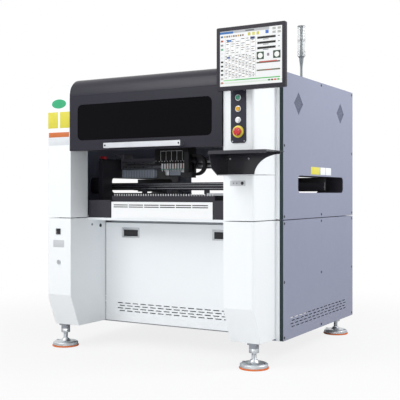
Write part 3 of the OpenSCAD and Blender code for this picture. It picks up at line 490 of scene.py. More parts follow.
class Look(Enum):
    """The finishes of the machine."""

    WHITE = PowderCoat("white_powder_coat", "#eff3f6", dust=0.06, tone=0.015)
    PANEL_WHITE = PowderCoat("feeder_cover_white", "#f4f6f8", tone=0.02, roughness=0.34)
    BLUE_GREY = PowderCoat("blue_grey_powder_coat", "#888da3", dust=0.14, tone=0.04, roughness=0.46)
    GUARD = PowderCoat("guard_powder_coat", "#6d7389", tone=0.05, roughness=0.4, specular=0.3)
    HOOD_GREY = PowderCoat("hood_grey_powder_coat", "#262530", tone=0.06, roughness=0.32, specular=0.24)
    STRIP = PowderCoat("control_strip_coat", "#2b2b38", tone=0.05, roughness=0.36, specular=0.25)
    # Dark green-black paint for the strips at the side panels' front edges: painted shade.
    EDGE_STRIP = PowderCoat("edge_strip_coat", "#2c3a3d", tone=0.04, roughness=0.5, specular=0.2)
    TUBE_GREY = PowderCoat("frame_tube_coat", "#8d9199", tone=0.05, roughness=0.5)
    INNER_DARK = PowderCoat("inner_dark_coat", "#302f37", tone=0.08, roughness=0.5, specular=0.3)
    TABLE = PowderCoat("feeder_table_coat", "#e9eef2", tone=0.03)
    TRAY = PowderCoat("tray_coat", "#22222c", tone=0.08, roughness=0.24, specular=0.6)
    SHELF = PowderCoat("shelf_coat", "#c5c8cc", tone=0.04)
    BEAM = PowderCoat("beam_coat", "#5c5b65", tone=0.05, roughness=0.4, specular=0.3)
    DUCT = PowderCoat("duct_coat", "#a3adbd", tone=0.05, roughness=0.36)
    REAR = PowderCoat("rear_cover_coat", "#b9bdcb", tone=0.04)
    CAST = Metal("ground_bed_iron", "#a9aeb4", roughness=0.45, pitch=2.0, grain=(0.05, 1.0, 1.0))
    MACHINED = Metal("machined_steel", "#c3c6cb", roughness=0.32, grain=(0.08, 1.0, 1.0))
    BRIGHT = Metal("bright_aluminium", "#cfd2d7", roughness=0.34, grain=(0.04, 1.0, 1.0), pitch=0.8)
    ZINC = Metal("zinc_plated_steel", "#c8ccd0", roughness=0.34, pitch=3.0)
    BROWN = Plastic("red_brown_plastic", "#6d3a30", roughness=0.45)
    POLE = Metal("pole_steel", "#7f868b", roughness=0.4, metallic=0.5)
    BLACK_STEEL = Metal("blackened_steel", "#1a1a1e", roughness=0.5, metallic=0.5)
    FOOT = Metal("foot_casting", "#c9ced2", roughness=0.36, pitch=4.0, depth=0.08, metallic=0.85)
    RAIL_BLACK = Metal("black_anodised", "#37373f", roughness=0.42, grain=(0.04, 1.0, 1.0), metallic=0.6)
    HEAD_BLACK = Plastic("head_cover_black", "#100f13", roughness=0.4, specular=0.25)
    BLACK = Plastic("black_plastic", "#19191c", roughness=0.42)
    MONITOR = Plastic("monitor_case", "#24212b", roughness=0.36, specular=0.22)
    GREY_PLASTIC = Plastic("grey_plastic", "#8d9196", roughness=0.5)
    WHITE_PLASTIC = Plastic("white_plastic", "#eceef2", roughness=0.35)
    RED_PLASTIC = Plastic("red_plastic", "#d02a33", roughness=0.3, coat=0.3)
    GREEN_PLASTIC = Plastic("green_plastic", "#1f8a6c", roughness=0.3, coat=0.4)
    YELLOW_PLASTIC = Plastic("yellow_plastic", "#e2a91f", roughness=0.35, coat=0.2)
    PALE_YELLOW = Plastic("pale_yellow_plastic", "#e3d24a", roughness=0.38)
    SATIN_RING = Metal("satin_ring", "#e6e9ec", roughness=0.4, pitch=0.8, metallic=0.6)
    ORANGE_MARK = Plastic("orange_patch", "#c9703f", roughness=0.4)
    YELLOW_MARK = Plastic("yellow_patch", "#d8cf4c", roughness=0.4)
    GREEN_MARK = Plastic("green_patch", "#35a876", roughness=0.4)
    PALE_MARK = Plastic("pale_patch", "#d9dde2", roughness=0.4)
    SMOKED = Acrylic("smoked_acrylic", "#0a090d", specular=0.05)
    CLEAR = Acrylic("clear_lens", "#eef3f5", roughness=0.05, specular=0.5, transmission=0.88)
    ORANGE_RUBBER = Rubber("orange_rubber", "#e0743a")
    BLACK_RUBBER = Rubber("black_rubber", "#202022")
    SCREEN = Picture("display_picture")

    @property
    def material(self) -> bpy.types.Material:
        """The material of this finish."""
        return self.value.material()


# ---- Modelling ----


@dataclass(frozen=True)
class Reach:
    """Lowest and highest corner of a node, in millimetres."""

    x0: float
    y0: float
    z0: float
    x1: float
    y1: float
    z1: float

    @classmethod
    def of(cls, node: str) -> Reach:
        """Reach of a CAD node at rest."""
        low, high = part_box(node)
        return cls(*(c / MM for c in low), *(c / MM for c in high))

    @property
    def width(self) -> float:
        """Size along X."""
        return self.x1 - self.x0

    @property
    def depth(self) -> float:
        """Size along Y."""
        return self.y1 - self.y0

    @property
    def height(self) -> float:
        """Size along Z."""
        return self.z1 - self.z0

    @property
    def middle(self) -> Point:
        """Middle of the box."""
        return ((self.x0 + self.x1) / 2, (self.y0 + self.y1) / 2, (self.z0 + self.z1) / 2)


class Side(Enum):
    """The two sides of the machine, by the sign of X."""

    LEFT = -1
    RIGHT = 1

    @property
    def word(self) -> str:
        """The side as the nodes' names have it."""
        return self.name.lower()

    def span(self, near: float, far: float) -> Span:
        """Span along X between two distances from the middle."""
        low, high = sorted((self.value * near, self.value * far))
        return low, high

    def outer(self, reach: Reach) -> float:
        """Distance from the middle to the outer face of a node."""
        return max(self.value * reach.x0, self.value * reach.x1)


def turn_to(axis: Sequence[float]) -> Matrix:
    """Rotation that takes Z to an axis."""
    return Vector((0, 0, 1)).rotation_difference(Vector(axis)).to_matrix().to_4x4()


class Shape:
    """A mesh that grows by bmesh operators and becomes one piece of the machine."""

    def __init__(self) -> None:
        """Starts empty."""
        self.mesh = bmesh.new()
        self.tint = self.mesh.loops.layers.float_color.new("tint")

    def paint(self, verts: Iterable[bmesh.types.BMVert], look: int) -> list[bmesh.types.BMFace]:
        """Gives the faces at some vertices a finish.

        Args:
            verts: the vertices.
            look: number of the finish.

        Returns:
            The faces.
        """
        faces = list({face for vert in verts for face in vert.link_faces})
        for face in faces:
            face.material_index = look
        return faces

    def _ease(self, edges: list[bmesh.types.BMEdge], width: float, steps: int) -> None:
        """Rounds some edges.

        Args:
            edges: the edges.
            width: radius of the rounding.
            steps: its facets.
        """
        bmesh.ops.bevel(
            self.mesh, geom=edges, offset=width, offset_type="OFFSET", segments=steps, profile=0.5,
            affect="EDGES", material=-1, clamp_overlap=True,
        )

    def plate(
        self, x: Span, y: Span, z: Span, edge: float = 0.5, steps: int = 2, look: int = 0,
        turn: Matrix | None = None,
    ) -> None:
        """Adds a block with eased edges.

        Args:
            x, y, z: its spans.
            edge: radius of its edges.
            steps: facets of each edge.
            look: number of its finish.
            turn: transform after it is made.
        """
        size = [b - a for a, b in (x, y, z)]
        middle = [(a + b) / 2 for a, b in (x, y, z)]
        matrix = Matrix.Translation(middle) @ Matrix.Diagonal((*size, 1.0))
        if turn is not None:
            matrix = turn @ matrix
        verts = bmesh.ops.create_cube(self.mesh, size=1.0, matrix=matrix)["verts"]
        self.paint(verts, look)
        if edge:
            self._ease(list({e for v in verts for e in v.link_edges}), min(edge, min(size) * 0.45), steps)

    def rod(
        self, start: Point, end: Point, radius: float, edge: float = 0.4, sides: int = 28, look: int = 0
    ) -> None:
        """Adds a round bar with eased ends.

        Args:
            start: middle of one end.
            end: middle of the other end.
            radius: its radius.
            edge: radius of its ends' edges.
            sides: facets round it.
            look: number of its finish.
        """
        a, b = Vector(start), Vector(end)
        matrix = Matrix.Translation((a + b) / 2) @ turn_to(b - a)
        made = bmesh.ops.create_cone(
            self.mesh, cap_ends=True, segments=sides, radius1=radius, radius2=radius,
            depth=(b - a).length, matrix=matrix,
        )["verts"]
        caps = [f for f in self.paint(made, look) if len(f.verts) == sides]
        self._ease(list({e for f in caps for e in f.edges}), edge, 2)

    def nut(self, at: Point, radius: float, height: float, edge: float, look: int) -> None:
        """Adds a six-sided nut that stands upright.

        Args:
            at: its middle.
            radius: distance from its middle to a corner.
            height: its height.
            edge: radius of its edges.
            look: number of its finish.
        """
        made = bmesh.ops.create_cone(
            self.mesh, cap_ends=True, segments=6, radius1=radius, radius2=radius, depth=height,
            matrix=Matrix.Translation(at),
        )["verts"]
        self.paint(made, look)
        self._ease(list({e for v in made for e in v.link_edges}), edge, 2)

    def frame(
        self, hole: tuple[Span, Span], rim: tuple[Span, Span], y: Span, lap: float, edge: float
    ) -> None:
        """Adds four bars round an opening that faces the operator.

        Args:
            hole: the opening's spans along X and Z.
            rim: the frame's outer spans along X and Z.
            y: its span along Y.
            lap: how far the level bars reach past the opening.
            edge: radius of its edges.
        """
        (x0, x1), (z0, z1) = hole
        (left, right), (low, high) = rim
        for x in ((left, x0), (x1, right)):
            self.plate(x, y, (low, high), edge)
        for z in ((low, z0), (z1, high)):
            self.plate((x0 - lap, x1 + lap), y, z, edge)

    def turned(
        self, outline: Sequence[tuple[float, float]], foot: Point, axis: Point = (0, 0, 1), sides: int = 32,
        look: int = 0,
    ) -> None:
        """Spins an outline about an axis through its foot.

        Args:
            outline: pairs of radius and height.
            foot: place of height 0 on the axis.
            axis: direction of the height.
            sides: facets round it.
            look: number of its finish.
        """
        verts = [self.mesh.verts.new((r, 0.0, h)) for r, h in outline]
        edges = [self.mesh.edges.new(pair) for pair in zip(verts, verts[1:])]
        bmesh.ops.spin(
            self.mesh, geom=verts + edges, cent=(0, 0, 0), axis=(0, 0, 1), angle=math.tau, steps=sides,
            use_merge=True, use_duplicate=False,
        )
        loose = self._island(verts[0])
        bmesh.ops.remove_doubles(self.mesh, verts=loose, dist=1e-4)
        loose = self._island(next(v for v in loose if v.is_valid))
        bmesh.ops.transform(self.mesh, matrix=Matrix.Translation(foot) @ turn_to(axis), verts=loose)
        bmesh.ops.recalc_face_normals(self.mesh, faces=self.paint(loose, look))

    def _island(self, seed: bmesh.types.BMVert) -> list[bmesh.types.BMVert]:
        """Every vertex that edges join to a seed.

        Args:
            seed: the vertex to start from.

        Returns:
            The vertices, the seed among them.
        """
        found, queue = {seed}, [seed]
        while queue:
            for edge in queue.pop().link_edges:
                for vert in edge.verts:
                    if vert not in found:
                        found.add(vert)
                        queue.append(vert)
        return list(found)

    def _tinted(self, verts: Iterable[bmesh.types.BMVert], colour: str) -> None:
        """Tints the faces at some vertices.

        Args:
            verts: the vertices.
            colour: their tint.
        """
        for face in self.paint(verts, 0):
            for loop in face.loops:
                loop[self.tint] = linear(colour)

    def tile(self, x: Span, z: Span, y: float, colour: str, lift: float) -> None:
        """Adds a thin tinted tile that faces the operator.

        Args:
            x: its span along X.
            z: its span along Z.
            y: place of its back.
            colour: its tint.
            lift: its thickness.
        """
        middle = ((x[0] + x[1]) / 2, y - lift / 2, (z[0] + z[1]) / 2)
        matrix = Matrix.Translation(middle) @ Matrix.Diagonal((x[1] - x[0], lift, z[1] - z[0], 1.0))
        self._tinted(bmesh.ops.create_cube(self.mesh, size=1.0, matrix=matrix)["verts"], colour)

    def disc(self, at: Point, radius: float, colour: str, lift: float) -> None:
        """Adds a thin tinted disc that faces the operator.

        Args:
            at: middle of its back.
            radius: its radius.
            colour: its tint.
            lift: its thickness.
        """
        x, y, z = at
        matrix = (
            Matrix.Translation((x, y - lift / 2, z))
            @ Matrix.Rotation(math.pi / 2, 4, "X")
            @ Matrix.Diagonal((radius, radius, 1.0, 1.0))
        )
        made = bmesh.ops.create_cone(
            self.mesh, cap_ends=True, segments=24, radius1=1.0, radius2=1.0, depth=lift, matrix=matrix
        )["verts"]
        self._tinted(made, colour)

    def stamp(self, other: bpy.types.Mesh, matrix: Matrix, look: int) -> None:
        """Adds a copy of a template mesh.

        Args:
            other: the template.
            matrix: its place, turn and size.
            look: number of its finish.
        """
        copy = other.copy()
        copy.transform(matrix)
        for face in copy.polygons:
            face.material_index = look
        self.mesh.from_mesh(copy)
        bpy.data.meshes.remove(copy)

    def template(self, name: str) -> bpy.types.Mesh:
        """Ends the shape as a mesh to stamp from, still in millimetres.

        Args:
            name: the mesh's name.

        Returns:
            The mesh.
        """
        mesh = bpy.data.meshes.new(name)
        self.mesh.to_mesh(mesh)
        self.mesh.free()
        return mesh

    def finish(
        self, name: str, body: str, slot: str, looks: Sequence[Look], replaces: Sequence[str] = ()
    ) -> None:
        """Ends the shape as a piece of the machine.

        Args:
            name: the piece's name.
            body: the body that carries it.
            slot: not used.
            looks: its finishes in order.
            replaces: CAD nodes that it stands for.
        """
        bmesh.ops.scale(self.mesh, vec=(MM, MM, MM), verts=self.mesh.verts)
        limit = math.radians(SMOOTH_BELOW)
        for face in self.mesh.faces:
            face.smooth = True
        for edge in self.mesh.edges:
            if len(edge.link_faces) == 2 and edge.calc_face_angle(0.0) > limit:
                edge.smooth = False
        mesh = bpy.data.meshes.new(name)
        self.mesh.to_mesh(mesh)
        self.mesh.free()
        piece = bpy.data.objects.new(name, mesh)
        bpy.context.scene.collection.objects.link(piece)
        for look in looks:
            mesh.materials.append(look.material)
        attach(piece, body)
        if replaces:
            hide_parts(*replaces)
        LOG.info("%s rides on %s, %d faces", name, body, len(mesh.polygons))


def dress(looks: dict[str, Look]) -> None:
    """Gives CAD nodes their finishes.

    Args:
        looks: finish of each node.
    """
    for node, look in looks.items():
        mesh = bpy.data.objects[node].data
        if not mesh.materials:
            mesh.materials.append(look.material)
        for index in range(len(mesh.materials)):
            mesh.materials[index] = look.material
        LOG.info("%s has the finish %s", node, look.name)


class Fasteners:
    """Button head screws, stamped from one template of unit size."""

    DOME: Outline = (
        (1.0, 0.0), (1.0, 0.06), (0.92, 0.25), (0.74, 0.42), (0.48, 0.52), (0.42, 0.53), (0.4, 0.48),
        (0.4, 0.2), (0.0, 0.17),
    )

    def __init__(self) -> None:
        """Turns one head of radius 1 with its socket."""
        shape = Shape()
        shape.turned(self.DOME, (0, 0, 0), sides=12)
        self.head = shape.template("screw_head")

    def place(self, shape: Shape, at: Point, axis: Point, radius: float, look: int = 0) -> None:
        """Puts a screw head on a surface.

        Args:
            shape: the piece that gets it.
            at: middle of its underside.
            axis: direction that it faces.
            radius: its radius.
            look: number of its finish.
        """
        shape.stamp(self.head, Matrix.Translation(at) @ turn_to(axis) @ Matrix.Scale(radius, 4), look)


# ---- Sub-assemblies ----


@dataclass
class SheetCovers:
    """Folded covers of the cabinet with their screws, dark strips of painted shade at the side panels' front
    edges, and bare plates.
    """

    screws: Fasteners
    screw_r: float = 8.5
    screw_sink: float = 2.6
    edge_inset: float = 14.0
    seam_inset: float = 16.0
    tunnel_row: float = 1101.0
    base_row: float = 410.0
    strip_w: float = 19.0
    strip_t: float = 1.2
    mat_half: float = 56.0
    oval_at: tuple[float, float] = (-557.0, 1353.0)
    oval_half: tuple[float, float] = (50.0, 25.0)
    marks: tuple[tuple[Span, Span, float, int], ...] = (
        ((-634, -564), (1219, 1308), 0.6, 1),
        ((-550, -479), (1219, 1308), 0.6, 1),
        ((-629, -486), (1169, 1196), 0.6, 2),
        ((-629, -486), (1124, 1168), 0.5, 3),
    )
    plate_left: tuple[Span, Span] = ((-597, -521), (562, 601))
    plate_right: tuple[Span, Span] = ((512, 596), (895, 921))
    socket_z: float = 908.0
    sockets: tuple[tuple[float, float, float, float, int], ...] = (
        (579, 3.2, 8.0, 0.8, 1), (532, 1.9, 4.0, 0.4, 2), (549, 1.9, 4.0, 0.4, 2),
    )
    label_z: Span = (962, 1003)
    label_fields: tuple[tuple[Span, int], ...] = (((-25, 108), 0), ((114, 190), 1), ((196, 277), 1))

    def build(self) -> None:
        """Dresses the covers and adds what is fixed to them."""
        looks = {"fan_guards": Look.GUARD, "rear_cover": Look.REAR, "rear_panel": Look.BLUE_GREY}
        for side in Side:
            for level in ("upper", "lower"):
                looks[f"side_panel_{side.word}_{level}"] = Look.BLUE_GREY
                looks[f"column_{side.word}_{level}"] = Look.WHITE
        dress(looks)
        self.side_screws()
        self.rear_screws()
        self.painted_shade_strips()
        self.guard_backs()
        self.column_patches()
        self.column_plates()
        self.tunnel_label()

    @staticmethod
    def panels(side: Side) -> tuple[Reach, Reach]:
        """Reach of a side's upper and lower panels."""
        return Reach.of(f"side_panel_{side.word}_upper"), Reach.of(f"side_panel_{side.word}_lower")

    def heads(self, name: str, axis: Point, places: Sequence[Point]) -> None:
        """Black button heads, sunk a little into the sheet that they hold.

        Args:
            name: name of the piece.
            axis: direction that the heads face.
            places: points on the sheet's outer face.
        """
        shape = Shape()
        for place in places:
            x, y, z = (at - self.screw_sink * out for at, out in zip(place, axis))
            self.screws.place(shape, (x, y, z), axis, self.screw_r)
        shape.finish(name, "cabinet", "dark_metal", [Look.BLACK_STEEL])

    def side_screws(self) -> None:
        """Button heads along the edges of the side panels."""
        for side in Side:
            upper, lower = self.panels(side)
            front, back = upper.y0 + self.edge_inset, upper.y1 - self.edge_inset
            mid = upper.middle[1]
            places = [(mid, upper.z1 - 14), (back, upper.z1 - 16)]
            places += [(front, self.tunnel_row), (back, self.tunnel_row)]
            rows = (upper.z0 + self.seam_inset, lower.z1 - self.seam_inset, lower.z0 + self.seam_inset)
            places += [(y, z) for y in (front, mid, back) for z in rows]
            places += [(front, self.base_row), (mid, self.base_row + 10), (back, self.base_row)]
            outer = side.value * side.outer(upper)
            self.heads(f"side_screws_{side.word}", (side.value, 0, 0), [(outer, y, z) for y, z in places])

    def rear_screws(self) -> None:
        """Button heads round the rear covers."""
        cover, panel = Reach.of("rear_cover"), Reach.of("rear_panel")
        edges = (cover.x0 + self.seam_inset, cover.x1 - self.seam_inset)
        seams = (panel.z0 + 18, panel.z1 - self.seam_inset, cover.z0 + self.seam_inset)
        places = [(x, z) for z in (*seams, panel.middle[2], cover.z0 + 330) for x in edges]
        places += [(x, z) for x in (cover.x0 / 3, cover.x1 / 3) for z in seams]
        self.heads("rear_screws", (0, 1, 0), [(x, cover.y1, z) for x, z in places])

    def guard_backs(self) -> None:
        """Black filter mats behind the perforated fan guards, which stand on a corner."""
        guards = Reach.of("fan_guards")
        reach = guards.height / 2
        across = (-self.mat_half, self.mat_half)
        shape = Shape()
        for side in Side:
            for y in (guards.y0 + reach, guards.y1 - reach):
                at = (side.value * (guards.x1 - 4.0), y, guards.middle[2])
                turn = Matrix.Translation(at) @ Matrix.Rotation(math.radians(45), 4, "X")
                shape.plate((-1.2, 1.2), across, across, 0.5, turn=turn)
        shape.finish("guard_backs", "cabinet", "black_plastic", [Look.BLACK])

    def painted_shade_strips(self) -> None:
        """Dark strips of painted shade on the side panels' front edges, between the columns and the panels,
        each with a white fold beside it.
        """
        for side in Side:
            upper, lower = self.panels(side)
            outer = side.outer(upper) - 0.6
            inner = outer - self.strip_w
            step = side.outer(Reach.of(f"column_{side.word}_upper"))
            shape = Shape()
            for reach in (upper, lower):
                # Look 0 is the dark strip of painted shade; look 1 is the white fold.
                for look, x in enumerate((side.span(inner, outer), side.span(step, inner))):
                    y = (reach.y0 - self.strip_t, reach.y0)
                    shape.plate(x, y, (reach.z0 + 1, reach.z1 - 1), 0.4, look=look)
            shape.finish(f"edge_strip_{side.word}", "cabinet", "dark_metal", [Look.EDGE_STRIP, Look.WHITE])

    def column_patches(self) -> None:
        """Bare colour patches on the left column: an oval, two squares and two bars."""
        y = Reach.of("column_left_upper").y0
        centre = Matrix.Translation((self.oval_at[0], y, self.oval_at[1]))
        stretch = Matrix.Diagonal((self.oval_half[0], 1, self.oval_half[1], 1))
        shape = Shape()
        oval = bmesh.ops.create_cone(
            shape.mesh, cap_ends=True, segments=48, radius1=1, radius2=1, depth=1.2,
            matrix=centre @ stretch @ turn_to((0, -1, 0)),
        )["verts"]
        shape.paint(oval, 0)
        for x, z, thick, look in self.marks:
            shape.plate(x, (y - thick, y), z, 0.4, look=look)
        looks = [Look.GREEN_MARK, Look.YELLOW_MARK, Look.ORANGE_MARK, Look.PALE_MARK]
        shape.finish("column_patches", "cabinet", "white_paint", looks)

    def column_plates(self) -> None:
        """Bare plate on the left column, and a plate with three sockets on the right one."""
        y = Reach.of("column_left_upper").y0
        left = Shape()
        left.plate(self.plate_left[0], (y - 1.0, y), self.plate_left[1], 0.6)
        left.finish("column_plate_left", "cabinet", "white_paint", [Look.SHELF])
        y = Reach.of("column_right_upper").y0
        right = Shape()
        right.plate(self.plate_right[0], (y - 1.2, y), self.plate_right[1], 0.6)
        for x, out, radius, edge, look in self.sockets:
            right.rod((x, y - 0.8, self.socket_z), (x, y - out, self.socket_z), radius, edge=edge, look=look)
        looks = [Look.SHELF, Look.BLACK, Look.GREY_PLASTIC]
        right.finish("column_plate_right", "cabinet", "white_paint", looks)

    def tunnel_label(self) -> None:
        """Bare label in three fields above the right tunnel."""
        face = Reach.of("side_panel_right_upper").x1
        shape = Shape()
        for y, look in self.label_fields:
            shape.plate((face - 0.4, face + 0.2), y, self.label_z, 0.2, look=look)
        shape.finish("side_patches", "cabinet", "white_paint", [Look.YELLOW_MARK, Look.WHITE])


@dataclass
class LiftingHood:
    """Hood with its window and pull handle."""

    screws: Fasteners
    crease_z: Span = (1388.0, 1390.0)
    handle_inset: float = 10.0
    screw_r: float = 5.0

    def build(self) -> None:
        """Dresses the hood and adds its crease and the handle's screws."""
        dress({"hood": Look.HOOD_GREY, "hood_window": Look.SMOKED, "hood_handle": Look.BRIGHT})
        hood, handle = Reach.of("hood"), Reach.of("hood_handle")
        crease = Shape()
        crease.plate((hood.x0 + 1, hood.x1 - 1), (hood.y0 - 0.7, hood.y0), self.crease_z, 0.3)
        crease.finish("hood_crease", "hood", "hood_paint", [Look.STRIP])
        fixings = Shape()
        for x in (handle.x0 + self.handle_inset, handle.x1 - self.handle_inset):
            self.screws.place(fixings, (x, handle.y0, handle.middle[2]), (0, -1, 0), self.screw_r)
        fixings.finish("handle_screws", "hood", "aluminium", [Look.BLACK_STEEL])


@dataclass
class ControlStrip:
    """Strip on the right column with the push buttons and the stop button."""

    screws: Fasteners
    face_depth: float = 4.0
    screw_inset: float = 9.0
    screw_r: float = 3.4
    push_ring: Outline = (
        (11.2, 4.0), (11.4, 4.6), (13.6, 4.7), (14.8, 4.2), (15.1, 3.0), (15.1, 0.2), (15.0, 0.0),
    )
    stop_ring: Outline = ((11.2, 4.1), (11.4, 4.5), (28.6, 4.6), (30.1, 3.6), (30.2, 0.4), (30.0, 0.0))
    stem_r: float = 7.0
    stem: float = 20.0
    caps: tuple[tuple[str, Look], ...] = (
        ("button_green", Look.GREEN_PLASTIC),
        ("button_yellow", Look.YELLOW_PLASTIC),
        ("button_white", Look.WHITE_PLASTIC),
    )

    def build(self) -> None:
        """Dresses the strip, replaces the caps and adds rings and screws."""
        dress({"control_panel": Look.STRIP})
        panel = Reach.of("control_panel")
        face = panel.y0 + self.face_depth
        fixings = Shape()
        for x in (panel.x0 + self.screw_inset, panel.x1 - self.screw_inset):
            for z in (panel.z0 + self.screw_inset, panel.z1 - self.screw_inset):
                self.screws.place(fixings, (x, face, z), (0, -1, 0), self.screw_r)
        fixings.finish("strip_screws", "cabinet", "dark_metal", [Look.ZINC])
        for node, look in self.caps:
            self.push_button(node, look)
        self.stop_button()
        self.rings(face)

    def rings(self, face: float) -> None:
        """Bezel rings of the buttons and the yellow ring of the stop button.

        Args:
            face: place of the strip's face along Y.
        """
        rings = [(node, self.push_ring, 0) for node, _ in self.caps] + [("estop_button", self.stop_ring, 1)]
        shape = Shape()
        for node, outline, look in rings:
            x, _, z = Reach.of(node).middle
            shape.turned(outline, (x, face, z), (0, -1, 0), look=look)
        shape.finish("button_rings", "cabinet", "control_panel", [Look.SATIN_RING, Look.PALE_YELLOW])

    def push_button(self, node: str, look: Look) -> None:
        """Domed cap with a stem, at the place of a plain button.

        Args:
            node: the plain button, which is also its body.
            look: the cap's finish.
        """
        reach = Reach.of(node)
        x, _, z = reach.middle
        r, cap = reach.width / 2, reach.depth
        outline = [
            (0, 0), (self.stem_r, 0), (self.stem_r, self.stem), (r, self.stem), (r, cap - 1.4),
            (r - 0.5, cap - 0.4), (r - 1.6, cap), (r - 2.4, cap - 0.3), (r - 3.0, cap - 0.5),
            (r * 0.4, cap - 0.1), (0, cap),
        ]
        shape = Shape()
        shape.turned(outline, (x, reach.y1, z), (0, -1, 0))
        shape.finish(f"{node}_cap", node, node, [look], (node,))

    def stop_button(self) -> None:
        """Mushroom head with a rounded rim and three raised marks."""
        reach = Reach.of("estop_button")
        x, _, z = reach.middle
        r, cap = reach.width / 2, reach.depth
        outline = [
            (0, 0), (self.stem_r, 0), (self.stem_r, self.stem), (11, self.stem), (11, cap - 9.4),
            (r - 3.5, cap - 9), (r - 0.6, cap - 8.2), (r, cap - 7), (r, cap - 4), (r - 0.6, cap - 2.4),
            (r - 2.2, cap - 1.0), (r - 5, cap - 0.2), (r - 7, cap), (0, cap),
        ]
        shape = Shape()
        shape.turned(outline, (x, reach.y1, z), (0, -1, 0), sides=40)
        for angle in (90, 210, 330):
            turn = Matrix.Translation((x, 0, z)) @ Matrix.Rotation(math.radians(angle), 4, "Y")
            shape.plate((8, 15), (reach.y0, reach.y0 + 1.2), (-1.6, 1.6), 0.4, look=1, turn=turn)
        looks = [Look.RED_PLASTIC, Look.WHITE_PLASTIC]
        shape.finish("estop_head", "estop", "estop", looks, ("estop_button",))


@dataclass(frozen=True)
class Tile:
    """Tinted tile of the monitor's picture, by shares of the screen from its top left corner."""

    u0: float
    v0: float
    u1: float
    v1: float
    colour: str
    lift: float = 0.3


